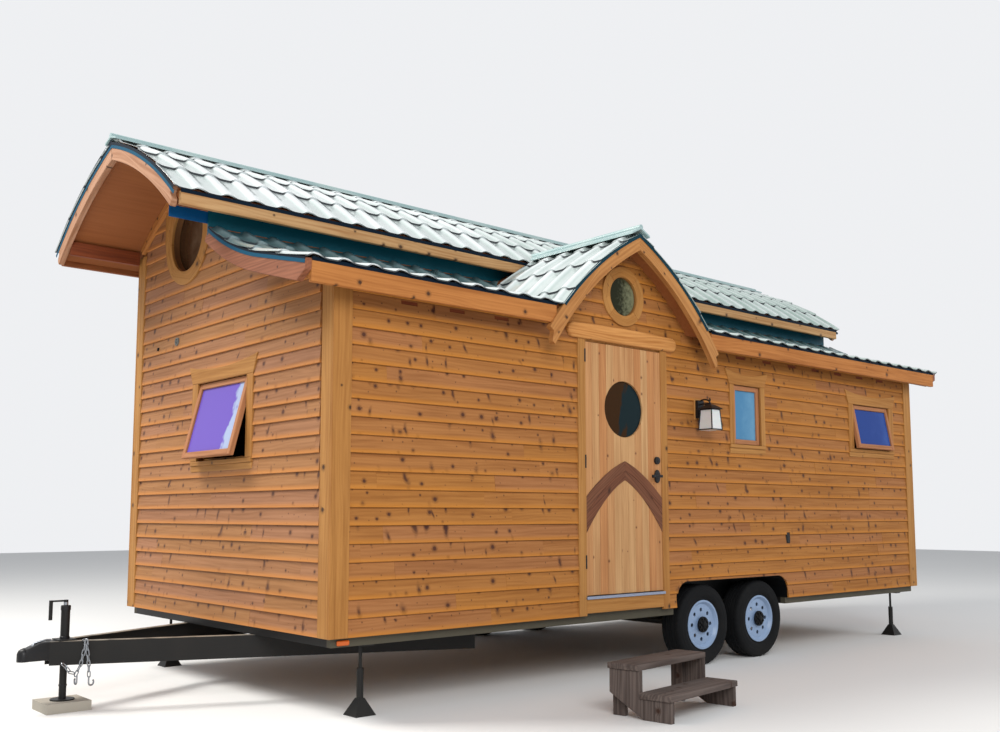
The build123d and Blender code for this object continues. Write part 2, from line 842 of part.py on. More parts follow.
# Dormer roof, trimmed to the skirt below it and to the upper roof behind it
dormer_deck_front = gable_board_thickness - dormer_overhang
dormer_deck_run = dormer_foot_run - dormer_deck_inset
dormer_metal_ends = (across(-dormer_overhang - tile_lip), band_y)
with BuildPart() as dormer_roof_deck:
    extrude(ring(at_y(dormer_deck_front), dormer, 0, deck_thickness, dormer_deck_run),
            amount=-(clerestory_inset - siding_thickness - dormer_deck_front))
    add(skirt_deck_room.part, mode=Mode.SUBTRACT)
    add(upper_room.part, mode=Mode.SUBTRACT)
finish(dormer_roof_deck, "dormer_roof_deck")

with BuildPart() as dormer_roof_metal:
    extrude(ring(at_y(-dormer_overhang - tile_lip), dormer, -tile_thickness, 0, ridge_block_run),
            amount=dormer_metal_ends[0] - dormer_metal_ends[1])
    for side in (1, -1):
        courses(lambda distance, lift: dormer.at(distance, lift, side), dormer.down(dormer_deck_run, crown_lift),
                crossways, lengthways, dormer_metal_ends,
                dormer.down(ridge_block_run) - tile_crown, side > 0)
    add(skirt_shell.part, mode=Mode.SUBTRACT)
    extrude(ring(at_y(-dormer_overhang - tile_lip), dormer, -tile_sheet, 0, dormer_deck_run),
            amount=dormer_metal_ends[0] - dormer_metal_ends[1])
    add(skirt_room.part, mode=Mode.SUBTRACT)
    add(upper_room.part, mode=Mode.SUBTRACT)
    add(skirt_roof_metal.part, mode=Mode.SUBTRACT)
finish(dormer_roof_metal, "dormer_roof_metal")


# Ridge caps: a bent strip on the metal at each apex, with a roll along its middle
def ridge_cap(plane, arch, length):
    """Add a ridge cap along an arch, this long."""
    extrude(ring(plane, arch, -tile_thickness - ridge_cap_thickness, -tile_thickness, ridge_cap_width / 2),
            amount=length)
    with BuildSketch(plane) as roll:
        with Locations(arch.point(-tile_thickness - ridge_cap_thickness, 0)):
            Circle(ridge_roll_radius)
    extrude(roll.sketch, amount=length)
    extrude(vault(plane, arch, -tile_thickness, ridge_cap_width, door_wall_height), amount=length,
            mode=Mode.SUBTRACT)


with BuildPart() as dormer_ridge_cap:
    ridge_cap(at_y(-dormer_overhang - tile_lip), dormer, -(clerestory_inset + dormer_overhang))
    add(upper_room.part, mode=Mode.SUBTRACT)
with BuildPart() as ridge_caps:
    ridge_cap(at_x(metal_ends[0]), upper, metal_ends[1] - metal_ends[0])
    add(dormer_ridge_cap.part)
finish(ridge_caps, "ridge_caps")


# Curved rafters against the end walls, and the beams from their feet to the gable boards
with BuildPart() as wall_arch_rafters:
    for start in (-rafter_thickness, house_length):
        extrude(ring(at_x(start), upper, deck_thickness, gable_board_depth, loft_run, square=True),
                amount=rafter_thickness)
finish(wall_arch_rafters, "wall_arch_rafters")

beam_top = upper.point(deck_thickness, loft_run)[1]
with BuildPart() as arch_foot_beams:
    for x_ends in ((upper_deck_ends[0], -rafter_thickness),
                   (house_length + rafter_thickness, upper_deck_ends[1])):
        for outer, way in ((across(house_width), -1), (across(clerestory_inset), 1)):
            block((along(x_ends[0]), along(x_ends[1])), (outer, outer + way * foot_beam_width),
                  (beam_top - foot_beam_height, beam_top))
finish(arch_foot_beams, "arch_foot_beams")


# Boards on the gables: two arches, two flared skirt boards and the arch over the door
def skirt_board(start):
    """Add one flared gable board of the skirt roof, deeper at its eave end."""
    heel = eave_y + skirt_board_end
    middle = (heel + band_y) / 2
    middle_depth = (skirt_board_eave_depth + skirt_board_top_depth) / 2
    with BuildSketch(at_x(start)) as section:
        with BuildLine():
            Line(skirt.point(0, eave_y), skirt.point(0, skirt.bend(0)))
            ThreePointArc(skirt.point(0, skirt.bend(0)), skirt.point(0, (skirt.bend(0) + band_y) / 2),
                          skirt.point(0, band_y))
            Line(skirt.point(0, band_y), skirt.point(skirt_board_top_depth, band_y))
            ThreePointArc(skirt.point(skirt_board_top_depth, band_y), skirt.point(middle_depth, middle),
                          skirt.point(skirt_board_eave_depth, heel))
            Polyline(skirt.point(skirt_board_eave_depth, heel),
                     skirt.point(skirt_board_end, eave_y + skirt_board_nose),
                     skirt.point(skirt_board_end, eave_y), skirt.point(0, eave_y))
        make_face()
    extrude(section.sketch, amount=gable_board_thickness)


gable_board_starts = (0, house_length + rear_overhang - gable_board_thickness)
with BuildPart() as gable_boards:
    for overhang, start in zip((arch_overhang, 0), gable_board_starts):
        foot_run = upper_run + board_foot_reach
        extrude(ring(at_x(start - overhang), upper, 0, gable_board_depth, foot_run, square=True),
                amount=gable_board_thickness)
    for overhang, start in zip((skirt_overhang, 0), gable_board_starts):
        skirt_board(start - overhang)
    extrude(ring(at_y(-dormer_overhang), dormer, 0, dormer_board_depth, dormer_foot_run, square=True),
            amount=-gable_board_thickness)
finish(gable_boards, "gable_boards")

# Fascias: the skirt's, cut by the dormer, then the two along the upper roof
with BuildPart() as fascias:
    block((along(skirt_deck_ends[0]), along(skirt_deck_ends[1])), (eave_y, eave_y + fascia_thickness),
          (skirt_eave_top - eave_fascia_height, skirt_eave_top))
    add(dormer_room.part, mode=Mode.SUBTRACT)
    for side in (1, -1):
        outer = upper.middle + side * upper_run
        block((along(upper_deck_ends[0]), along(upper_deck_ends[1])), (outer, outer - side * fascia_thickness),
              (upper_fascia_bottom, upper_fascia_top))
finish(fascias, "fascias")

# Window casings with a board for the lantern, sashes and glass
with BuildPart() as wall_trim:
    for window in windows:
        half = window.width / 2 + window.casing
        head = window.height / 2
        horn = (half + window_head_flare, head + window_horn_height)
        with BuildSketch(window.plane) as casing:
            with Locations((0, -window_apron / 2)):
                Rectangle(2 * half, window.height + window_apron)
            with BuildLine():
                Polyline((-horn[0], horn[1]), (-half, head), (half, head), horn)
                ThreePointArc(horn, (0, head + window_head_height), (-horn[0], horn[1]))
            make_face()
            Rectangle(window.width, window.height, mode=Mode.SUBTRACT)
        extrude(casing.sketch, amount=window_casing_thickness)
    for plane, radius, width in round_windows:
        with BuildSketch(plane) as hoop:
            Circle(radius + width)
            Circle(radius - round_trim_lap, mode=Mode.SUBTRACT)
        extrude(hoop.sketch, amount=round_trim_thickness)
    block((lantern_x - lantern_board_width / 2, lantern_x + lantern_board_width / 2),
          (across(-lantern_board_thickness), across(0)),
          (lantern_height - lantern_board_height / 2, lantern_height + lantern_board_height / 2))
finish(wall_trim, "wall_trim")

with BuildPart() as window_frames:
    for window in windows:
        with BuildSketch(window.plane.offset(-sash_thickness)) as stop:
            Rectangle(window.width, window.height)
            Rectangle(window.width - 2 * window_stop_width, window.height - 2 * window_stop_width,
                      mode=Mode.SUBTRACT)
        extrude(stop.sketch, amount=sash_thickness + window_stop_margin - wall_thickness)
finish(window_frames, "window_frames")

with BuildPart() as window_sashes:
    for window in windows:
        wide = window.width - 2 * sash_gap
        tall = window.height - 2 * sash_gap
        with BuildSketch(window.sash_plane()) as sash:
            with Locations((0, -tall / 2)):
                Rectangle(wide, tall)
                Rectangle(wide - 2 * sash_width, tall - 2 * sash_width, mode=Mode.SUBTRACT)
        extrude(sash.sketch, amount=-sash_thickness)
finish(window_sashes, "window_sashes")

with BuildPart() as window_glass:
    for window in windows:
        wide = window.width - 2 * sash_gap - 2 * sash_width
        tall = window.height - 2 * sash_gap - 2 * sash_width
        with BuildSketch(window.sash_plane().offset(-sash_thickness / 2)) as pane:
            with Locations((0, -tall / 2 - sash_width)):
                Rectangle(wide, tall)
        extrude(pane.sketch, amount=-glass_thickness)
    for plane, radius, _ in round_windows:
        with BuildSketch(plane.offset(-wall_thickness / 2)) as pane:
            Circle(radius)
        extrude(pane.sketch, amount=-glass_thickness)
finish(window_glass, "window_glass")

# Door frame, casing and threshold
leaf_ends = (along(door_middle - door_width / 2), along(door_middle + door_width / 2))
leaf_face = across(-door_set_out)
leaf_back = leaf_face + door_thickness
leaf_heights = (doorway_bottom + door_gap, doorway_bottom + door_height)
frame_ends = (across(0), across(wall_thickness))
jamb_faces = (doorway_ends[0] + jamb_thickness, doorway_ends[1] - jamb_thickness)
head_bottom = doorway_top - jamb_thickness
with BuildPart() as door_frame:
    for outer, face, way in zip(doorway_ends, jamb_faces, (1, -1)):
        block((outer, face), frame_ends, (deck_height + floor_thickness, doorway_top))
        block((face, face + way * door_stop_width), (leaf_back + door_gap, frame_ends[1]),
              (doorway_bottom, head_bottom))
    block(jamb_faces, frame_ends, (head_bottom, doorway_top))
    block(jamb_faces, (leaf_back + door_gap, frame_ends[1]), (head_bottom - door_stop_width, head_bottom))
finish(door_frame, "door_frame")

casing_inner = (jamb_faces[0] - casing_reveal, jamb_faces[1] + casing_reveal)
casing_outer = (casing_inner[0] - casing_width, casing_inner[1] + casing_width)
lintel_bottom = head_bottom + casing_reveal
lintel_middle = lintel_bottom + lintel_height / 2
with BuildPart() as door_casing:
    for outer, inner in zip(casing_outer, casing_inner):
        block((outer, inner), (across(-casing_thickness), across(0)), (siding_bottom, lintel_bottom))
    with BuildSketch(Plane(origin=(along(door_middle), across(0), lintel_middle),
                           x_dir=(1, 0, 0), z_dir=(0, -1, 0))) as lintel:
        with BuildLine():
            rise = lintel_height / 2
            end = (casing_outer[1] - casing_outer[0]) / 2 + lintel_overhang
            shoulder = end - rise
            Line((-shoulder, -rise), (shoulder, -rise))
            ThreePointArc((shoulder, -rise), (end, 0), (shoulder, rise))
            ThreePointArc((shoulder, rise), (0, rise + lintel_crown), (-shoulder, rise))
            ThreePointArc((-shoulder, rise), (-end, 0), (-shoulder, -rise))
        make_face()
    extrude(lintel.sketch, amount=lintel_thickness)
    block(casing_inner, (across(-casing_thickness), across(0)),
          (doorway_bottom - threshold_height - sill_board_height, doorway_bottom - threshold_height))
finish(door_casing, "door_casing")

with BuildPart() as door_threshold:
    block(jamb_faces, (across(-casing_thickness - threshold_nose), across(wall_thickness)),
          (doorway_bottom - threshold_height, doorway_bottom))
    block(jamb_faces, frame_ends, (deck_height, doorway_bottom - threshold_height))
finish(door_threshold, "door_threshold")

# Door leaf with its round window, curved inlay, lock and lever
leaf_plane = Plane(origin=(along(door_middle), leaf_face, 0), x_dir=(1, 0, 0), z_dir=(0, -1, 0))
lever_x = leaf_ends[1] - lever_backset
with BuildPart() as door_leaf:
    block(leaf_ends, (leaf_face, leaf_back), leaf_heights)
    with BuildSketch(leaf_plane.offset(door_thickness)) as porthole:
        with Locations((0, door_window_height)):
            Circle(door_window_radius)
    extrude(porthole.sketch, amount=-3 * door_thickness, mode=Mode.SUBTRACT)
    rod((lever_x, leaf_face - door_thickness, lever_height),
        (lever_x, leaf_back + door_thickness, lever_height),
        lever_spindle_radius + spindle_clearance, mode=Mode.SUBTRACT)
finish(door_leaf, "door_leaf")

inlay_half = door_width / 2
with BuildPart() as door_inlay:
    with BuildSketch(leaf_plane) as inlay:
        for side in (1, -1):
            low_apex = inlay_apex - inlay_apex_width
            top_middle = (side * inlay_half / 2, (inlay_apex + inlay_foot_top) / 2 + inlay_bulge)
            low_middle = (side * inlay_half / 2, (low_apex + inlay_foot_bottom) / 2 + inlay_low_bulge)
            with BuildLine():
                ThreePointArc((0, inlay_apex), top_middle, (side * inlay_half, inlay_foot_top))
                Line((side * inlay_half, inlay_foot_top), (side * inlay_half, inlay_foot_bottom))
                ThreePointArc((side * inlay_half, inlay_foot_bottom), low_middle, (0, low_apex))
                Line((0, low_apex), (0, inlay_apex))
            make_face()
    extrude(inlay.sketch, amount=inlay_thickness)
finish(door_inlay, "door_inlay")

with BuildPart() as door_glass:
    with BuildSketch(leaf_plane.offset((door_glass_thickness - door_thickness) / 2)) as porthole_pane:
        with Locations((0, door_window_height)):
            Circle(door_window_radius)
    extrude(porthole_pane.sketch, amount=-door_glass_thickness)
finish(door_glass, "door_glass")

# Hinges: two fixed knuckles with a pin and a plate on the jamb, and a middle knuckle on the leaf
barrel_x = leaf_ends[0] - door_gap / 2
barrel_y = leaf_face - hinge_radius
knuckle = hinge_length / 4
hinge_heights = [leaf_heights[0] + share * door_height for share in hinge_shares]


def barrel(low, high, radius, mode=Mode.ADD):
    """Add a length of a hinge barrel."""
    rod((barrel_x, barrel_y, low), (barrel_x, barrel_y, high), radius, mode)


with BuildPart() as door_hinges:
    for height in hinge_heights:
        for way in (1, -1):
            ends = (height + way * knuckle, height + way * 2 * knuckle)
            barrel(ends[0], ends[1], hinge_radius)
            block((jamb_faces[0], jamb_faces[0] + hinge_plate), (barrel_y, leaf_back), ends)
        barrel(height - 2 * knuckle, height + 2 * knuckle, hinge_pin_radius)
finish(door_hinges, "door_hinges")

with BuildPart() as door_hardware:
    rod((lever_x, leaf_face, bolt_height), (lever_x, leaf_face - bolt_reach, bolt_height), bolt_radius)
    with BuildSketch(leaf_plane) as rose:
        with Locations((lever_x - along(door_middle), lever_height)):
            Ellipse(rose_width / 2, rose_height / 2)
            Circle(lever_spindle_radius + spindle_clearance, mode=Mode.SUBTRACT)
    extrude(rose.sketch, amount=rose_thickness)
    for height in hinge_heights:
        ends = (height - knuckle + end_clearance, height + knuckle - end_clearance)
        barrel(ends[0], ends[1], hinge_radius)
        block((leaf_ends[0] - hinge_plate, leaf_ends[0]), (barrel_y, leaf_back), ends)
        barrel(ends[0], ends[1], hinge_pin_radius + spindle_clearance, Mode.SUBTRACT)
finish(door_hardware, "door_hardware")

with BuildPart() as door_lever:
    rod((lever_x, leaf_back + lever_inner_reach, lever_height),
        (lever_x, leaf_face - lever_reach, lever_height), lever_spindle_radius)
    for face, way in ((leaf_face - lever_reach, 1), (leaf_back + lever_inner_reach, -1)):
        block((lever_x - lever_length, lever_x + lever_width / 2), (face, face + way * lever_thickness),
              (lever_height - lever_width / 2, lever_height + lever_width / 2))
finish(door_lever, "door_lever")

# Lantern by the door
def taper(low_size, high_size, low, high):
    """Add a square spire between two levels on the lantern's middle line."""
    middle = (lantern_x, across(-lantern_reach))
    with BuildSketch(Plane.XY.offset(low)) as foot:
        with Locations(middle):
            Rectangle(low_size, low_size)
    with BuildSketch(Plane.XY.offset(high)) as head:
        with Locations(middle):
            Rectangle(high_size, high_size)
    loft([foot.sketch, head.sketch])


lantern_cap_top = lantern_cap_bottom + lantern_cap_height
lantern_box_face = across(-lantern_board_thickness - lantern_box_depth)
with BuildPart() as lantern_frame:
    block((lantern_x - lantern_box_width / 2, lantern_x + lantern_box_width / 2),
          (lantern_box_face, across(-lantern_board_thickness)),
          (lantern_height - lantern_box_height / 2, lantern_height + lantern_box_height / 2))
    block((lantern_x - lantern_arm / 2, lantern_x + lantern_arm / 2),
          (across(-lantern_reach) - lantern_arm / 2, lantern_box_face),
          (lantern_cap_top, lantern_cap_top + lantern_arm))
    taper(lantern_cap_size, lantern_cap_crown, lantern_cap_bottom, lantern_cap_top)
finish(lantern_frame, "lantern_frame")

with BuildPart() as lantern_glass:
    taper(lantern_glass_foot, lantern_glass_top, lantern_cap_bottom - lantern_glass_height, lantern_cap_bottom)
finish(lantern_glass, "lantern_glass")

# Small fittings: power inlet, vent under the arch, and lamps at the front of the frame
with BuildPart() as wall_fittings:
    block((inlet_x - inlet_width / 2, inlet_x + inlet_width / 2),
          (across(-inlet_depth), across(0)), (inlet_height - inlet_rise / 2, inlet_height + inlet_rise / 2))
    block((along(-vent_depth), along(0)),
          (across(vent_inset) - vent_size / 2, across(vent_inset) + vent_size / 2),
          (vent_height - vent_size / 2, vent_height + vent_size / 2))
    for side_y, direction in sides:
        face = side_y + direction * rail_inset
        block((along(marker_distance) - marker_width / 2, along(marker_distance) + marker_width / 2),
              (face - direction * marker_depth, face),
              (rail_bottom + marker_lift, rail_bottom + marker_lift + marker_height))
finish(wall_fittings, "wall_fittings")

# Trailer frame under the deck: rails along it, broken round the wheels, and crossmembers between them
rail_y = (across(rail_inset), across(house_width - rail_inset))
rail_x = (along(rail_inset), along(house_length - rail_inset))
gap_ends = (along(arch_ends[0]), along(arch_ends[1]))
rail_heights = (rail_bottom, deck_height)
with BuildPart() as frame_rails:
    for side_y, direction in sides:
        outer = side_y + direction * rail_inset
        for x_ends in ((rail_x[0], gap_ends[0]), (gap_ends[1], rail_x[1])):
            block(x_ends, (outer, outer + direction * rail_width), rail_heights)
        inner = side_y + direction * (well_depth + well_room)
        block(gap_ends, (inner, inner + direction * rail_width), rail_heights)
finish(frame_rails, "frame_rails")

member_y = (rail_y[0] + rail_width, rail_y[1] - rail_width)
bay_starts = []
with BuildPart() as crossmembers:
    for start, way in ((rail_x[0], 1), (gap_ends[0], -1), (gap_ends[1], 1), (rail_x[1], -1)):
        block((start, start + way * rail_width), member_y, rail_heights)
    for start, end in ((rail_x[0], gap_ends[0] - rail_width), (gap_ends[1], rail_x[1] - rail_width)):
        count = max(1, round((end - start) / crossmember_spacing) - 1)
        pitch = (end - start) / (count + 1)
        bay_starts += [(start + index * pitch, pitch) for index in range(count + 1)]
        for index in range(1, count + 1):
            x = start + index * pitch
            block((x, x + rail_width), member_y, (deck_height - crossmember_height, deck_height))
finish(crossmembers, "crossmembers")

# Tongue: two channels that run out from under the frame to the coupler
coupler_x = along(-coupler_reach)
coupler_end = coupler_x + coupler_length
coupler_nose = coupler_x + coupler_width / 2
coupler_y = (house_middle_y - coupler_width / 2, house_middle_y + coupler_width / 2)
coupler_z = (rail_bottom - coupler_height, rail_bottom)
tongue_start = coupler_end - coupler_overlap
tongue_run = along(tongue_reach) - tongue_start
tongue_side = house_width / 2 - tongue_spread
tongue_length = hypot(tongue_run, tongue_side - tongue_start_offset)
tongue_turn = atan2(tongue_side - tongue_start_offset, tongue_run)
with BuildPart() as tongue_beams:
    for way in (1, -1):
        start = (tongue_start, house_middle_y + way * tongue_start_offset,
                 rail_bottom - tongue_beam_height / 2)
        plane = Plane(origin=start, x_dir=(-sin(tongue_turn), way * cos(tongue_turn), 0),
                      z_dir=(cos(tongue_turn), way * sin(tongue_turn), 0))
        with BuildSketch(plane) as channel:
            with Locations((-tongue_beam_width / 2, 0)):
                Rectangle(tongue_beam_width, tongue_beam_height)
            with Locations((-tongue_beam_width / 2 - tongue_web, 0)):
                Rectangle(tongue_beam_width, tongue_beam_height - 2 * tongue_flange, mode=Mode.SUBTRACT)
        extrude(channel.sketch, amount=tongue_length)
    block((coupler_nose, coupler_end), coupler_y, (rail_bottom - tongue_beam_height, rail_bottom),
          mode=Mode.SUBTRACT)
finish(tongue_beams, "tongue_beams")

with BuildPart() as coupler:
    block((coupler_nose, coupler_end), coupler_y, coupler_z)
    rod((coupler_nose, house_middle_y, coupler_z[0]), (coupler_nose, house_middle_y, coupler_z[1]),
        coupler_width / 2)
    rod((coupler_nose, house_middle_y, coupler_z[0]),
        (coupler_nose, house_middle_y, coupler_z[0] + ball_socket_depth), ball_socket_radius, Mode.SUBTRACT)
finish(coupler, "coupler")

# Tongue jack: a plate on the beams, a tube through it, the inner tube and its foot
jack_x = along(-jack_distance)
jack_foot = (jack_x, house_middle_y, jack_block_height)
jack_bottom = rail_bottom - jack_tube_drop
with BuildPart() as tongue_jack:
    rod((jack_x, house_middle_y, jack_bottom), (jack_x, house_middle_y, jack_tube_top), jack_tube_radius)
    rod(jack_foot, (jack_x, house_middle_y, jack_bottom), jack_inner_radius)
    rod(jack_foot, (jack_x, house_middle_y, jack_block_height + jack_plate), jack_foot_radius)
    block((jack_x - jack_plate_length / 2, jack_x + jack_plate_length / 2),
          (house_middle_y - jack_plate_width / 2, house_middle_y + jack_plate_width / 2),
          (rail_bottom, rail_bottom + jack_plate))
finish(tongue_jack, "tongue_jack")

crank_z = jack_tube_top + crank_rise
grip_x = jack_x - crank_reach
with BuildPart() as jack_crank:
    rod((jack_x, house_middle_y, jack_tube_top + end_clearance),
        (jack_x, house_middle_y, crank_z + crank_rod_radius), crank_hub_radius)
    rod((jack_x, house_middle_y, crank_z), (grip_x, house_middle_y, crank_z), crank_rod_radius)
    rod((grip_x, house_middle_y, crank_z + crank_rod_radius),
        (grip_x, house_middle_y, crank_z - crank_grip_length), crank_grip_radius)
finish(jack_crank, "jack_crank")

with BuildPart() as jack_block:
    half = jack_block_size / 2
    block((jack_x - half, jack_x + half), (house_middle_y - half, house_middle_y + half),
          (0, jack_block_height))
finish(jack_block, "jack_block")

# Screw stands under the corners of the frame
with BuildPart() as corner_stands:
    for distance in (stand_distance, house_length - rear_stand_inset):
        for side_y, direction in sides:
            x = along(distance)
            y = side_y + direction * stand_inset
            with BuildSketch(Plane.XY) as foot_low:
                with Locations((x, y)):
                    Rectangle(stand_foot_size, stand_foot_size)
            with BuildSketch(Plane.XY.offset(stand_foot_height)) as foot_high:
                with Locations((x, y)):
                    Rectangle(2 * stand_tube_radius, 2 * stand_tube_radius)
            loft([foot_low.sketch, foot_high.sketch])
            rod((x, y, stand_foot_height), (x, y, stand_tube_top), stand_tube_radius)
            rod((x, y, stand_tube_top), (x, y, rail_bottom - stand_plate), stand_screw_radius)
            block((x - stand_head / 2, x + stand_head / 2),
                  (side_y + direction * rail_inset, y + direction * stand_head / 2),
                  (rail_bottom - stand_plate, rail_bottom))
finish(corner_stands, "corner_stands")

# Axle beams with their spindles, and leaf springs in hangers under the inner rails
spring_inset = well_depth + well_room + rail_width / 2
spring_seat = tyre_radius + axle_tube_radius
spring_span = axle_spacing / 2 - hanger_length / 2
with BuildPart() as axles:
    for distance in wheel_axes:
        x = along(distance)
        rod((x, across(axle_tube_inset), tyre_radius), (x, across(house_width - axle_tube_inset), tyre_radius),
            axle_tube_radius)
        for side_y, direction in sides:
            rod((x, side_y + direction * spindle_inset, tyre_radius),
                (x, side_y + direction * axle_tube_inset, tyre_radius), spindle_radius)
finish(axles, "axles")

with BuildPart() as leaf_springs:
    for side_y, direction in sides:
        middle = side_y + direction * spring_inset
        for distance in wheel_axes:
            with BuildSketch(Plane(origin=(along(distance), middle - spring_width / 2, spring_seat),
                                   x_dir=(1, 0, 0), z_dir=(0, -1, 0))) as leaf:
                with BuildLine():
                    ThreePointArc((-spring_span, spring_lift), (0, 0), (spring_span, spring_lift))
                    Line((spring_span, spring_lift), (spring_span, spring_lift + spring_end))
                    ThreePointArc((spring_span, spring_lift + spring_end), (0, spring_pack),
                                  (-spring_span, spring_lift + spring_end))
                    Line((-spring_span, spring_lift + spring_end), (-spring_span, spring_lift))
                make_face()
            extrude(leaf.sketch, amount=-spring_width)
        for x in (along(wheel_axes[0]) - spring_span, along(wheel_middle), along(wheel_axes[1]) + spring_span):
            block((x - hanger_length / 2, x + hanger_length / 2),
                  (middle - spring_width / 2, middle + spring_width / 2),
                  (spring_seat + hanger_rise, rail_bottom))
finish(leaf_springs, "leaf_springs")

# Wheel wells: a skin over each pair of wheels
wells = []
for side_y, direction in sides:
    with BuildPart() as well:
        wheel_arch(side_y, direction, well_depth)
        wheel_arch(side_y - direction, direction, well_depth - well_skin + 1, inset=well_skin,
                   mode=Mode.SUBTRACT)
        block(gap_ends, (side_y - direction, side_y + direction * (well_depth + 1)),
              (rail_bottom, siding_bottom), mode=Mode.SUBTRACT)
    wells.append(well.part)
with BuildPart() as wheel_wells:
    for skin in wells:
        add(skin)
finish(wheel_wells, "wheel_wells")


# Wheels
def wheel(name, x, side_y, direction):
    """Make one tyre and its rim, from the outer face of the tyre inwards."""
    outer = side_y + direction * tyre_inset
    middle = (x, outer, tyre_radius)
    section_plane = Plane(origin=middle, x_dir=(0, 0, 1), z_dir=(-direction, 0, 0))
    axle_line = Axis(middle, (0, 1, 0))
    wall = (rim_radius + tyre_radius) / 2
    shoulder = tyre_radius - tyre_bulge
    with BuildPart() as tyre:
        with BuildSketch(section_plane) as tread:
            with BuildLine():
                Line((rim_radius, tyre_bead), (rim_radius, tyre_width - tyre_bead))
                ThreePointArc((rim_radius, tyre_width - tyre_bead), (wall, tyre_width),
                              (shoulder, tyre_width - tyre_bulge))
                Polyline((shoulder, tyre_width - tyre_bulge), (tyre_radius, tyre_width - tyre_shoulder),
                         (tyre_radius, tyre_shoulder), (shoulder, tyre_bulge))
                ThreePointArc((shoulder, tyre_bulge), (wall, 0), (rim_radius, tyre_bead))
            make_face()
        revolve(tread.sketch, axis=axle_line)
    finish(tyre, f"tyre_{name}")
    bore = spindle_radius + wheel_clearance
    step = rim_radius - rim_step
    well = rim_radius - rim_wall
    with BuildPart() as rim:
        with BuildSketch(section_plane) as profile:
            with BuildLine():
                Polyline((bore, rim_dish - hub_reach), (hub_radius, rim_dish - hub_reach),
                         (hub_radius, rim_dish), (step, rim_dish), (well, tyre_bead), (rim_radius, tyre_bead),
                         (rim_radius, tyre_width - tyre_bead), (well, tyre_width - tyre_bead),
                         (well, rim_dish + rim_disc), (hub_radius, rim_dish + rim_disc),
                         (hub_radius, rim_dish + hub_length), (bore, rim_dish + hub_length), close=True)
            make_face()
        revolve(profile.sketch, axis=axle_line)
        with BuildSketch(Plane(origin=middle, x_dir=(1, 0, 0), z_dir=(0, -direction, 0))) as holes:
            with PolarLocations(rim_hole_circle, rim_hole_count):
                Circle(rim_hole_radius)
        extrude(holes.sketch, amount=-(rim_dish + 2 * rim_disc), mode=Mode.SUBTRACT)
    finish(rim, f"rim_{name}")


for axle_name, distance in zip(("front", "rear"), wheel_axes):
    for side_name, (side_y, direction) in zip(("door_side", "far_side"), sides):
        wheel(f"{axle_name}_{side_name}", along(distance), side_y, direction)

# Step stool: two treads on two sawn sides, each with a leg at the back
stool_x = (cos(radians(step_turn)), sin(radians(step_turn)), 0)
stool_back = (-stool_x[1], stool_x[0], 0)
stool_middle = Vector(along(step_distance), across(-step_reach), 0)
side_height = 2 * step_rise - step_tread_thickness
low_side_height = step_rise - step_tread_thickness
with BuildPart() as step_stool:
    for height, way in ((2 * step_rise, 1), (step_rise, -1)):
        top = stool_middle + Vector(*stool_back) * (way * step_tread_depth / 2) + Vector(0, 0, height)
        with BuildSketch(Plane(origin=top, x_dir=stool_x, z_dir=(0, 0, 1))) as tread:
            Rectangle(step_width, step_tread_depth)
        extrude(tread.sketch, amount=-step_tread_thickness)
    for way in (1, -1):
        outer = stool_middle + Vector(*stool_x) * (way * (step_width / 2 - step_side_inset))
        side_plane = Plane(origin=outer, x_dir=stool_back, z_dir=stool_x)
        front = step_side_inset - step_tread_depth
        back = step_tread_depth - step_side_inset
        with BuildSketch(side_plane) as board:
            with BuildLine():
                Polyline((back, side_height), (0, side_height), (0, low_side_height), (front, low_side_height),
                         (front, 0), (front * step_notch, 0), (back, side_height / 2), close=True)
            make_face()
        extrude(board.sketch, amount=-way * step_side_thickness)
        with BuildSketch(side_plane.offset(-way * step_side_thickness)) as leg:
            with Locations((back - step_leg_width / 2, side_height / 2)):
                Rectangle(step_leg_width, side_height)
        extrude(leg.sketch, amount=-way * step_side_thickness)
finish(step_stool, "step_stool")
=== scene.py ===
import logging
import math
import random
from dataclasses import dataclass
from enum import Enum
from typing import Callable, Iterable, Sequence

import bmesh
import bpy
from mathutils import Matrix, Vector


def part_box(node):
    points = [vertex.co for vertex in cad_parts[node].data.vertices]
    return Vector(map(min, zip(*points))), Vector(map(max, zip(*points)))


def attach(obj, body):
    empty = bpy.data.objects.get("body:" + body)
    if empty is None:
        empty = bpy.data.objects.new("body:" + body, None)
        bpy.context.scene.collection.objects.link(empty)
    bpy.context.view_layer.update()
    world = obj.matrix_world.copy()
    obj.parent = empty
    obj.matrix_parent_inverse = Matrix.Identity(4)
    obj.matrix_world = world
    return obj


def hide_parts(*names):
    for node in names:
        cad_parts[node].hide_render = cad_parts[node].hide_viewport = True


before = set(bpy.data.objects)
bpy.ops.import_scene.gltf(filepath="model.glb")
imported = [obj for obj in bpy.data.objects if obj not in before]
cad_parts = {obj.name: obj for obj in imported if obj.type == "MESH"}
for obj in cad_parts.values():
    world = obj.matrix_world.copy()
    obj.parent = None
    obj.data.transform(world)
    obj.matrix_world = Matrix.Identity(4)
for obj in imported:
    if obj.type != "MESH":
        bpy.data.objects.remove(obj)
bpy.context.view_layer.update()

# Looks of a timber house on a two-axle trailer. Metres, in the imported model's own frame.

log = logging.getLogger("house")

Point = tuple[float, float]
Colour = tuple[float, float, float, float]
Grain = Callable[[float, float], Point]


def shade(red: float, green: float, blue: float) -> Colour:
    """Turn a colour as it is seen on screen, from 0 to 255, into the light values of a shader.

    Args:
        red: Red on screen.
        green: Green on screen.
        blue: Blue on screen.

    Returns:
        The colour with its alpha.
    """
    linear = [((v / 255 + 0.055) / 1.055) ** 2.4 if v > 10 else v / 255 / 12.92 for v in (red, green, blue)]
    return (linear[0], linear[1], linear[2], 1.0)


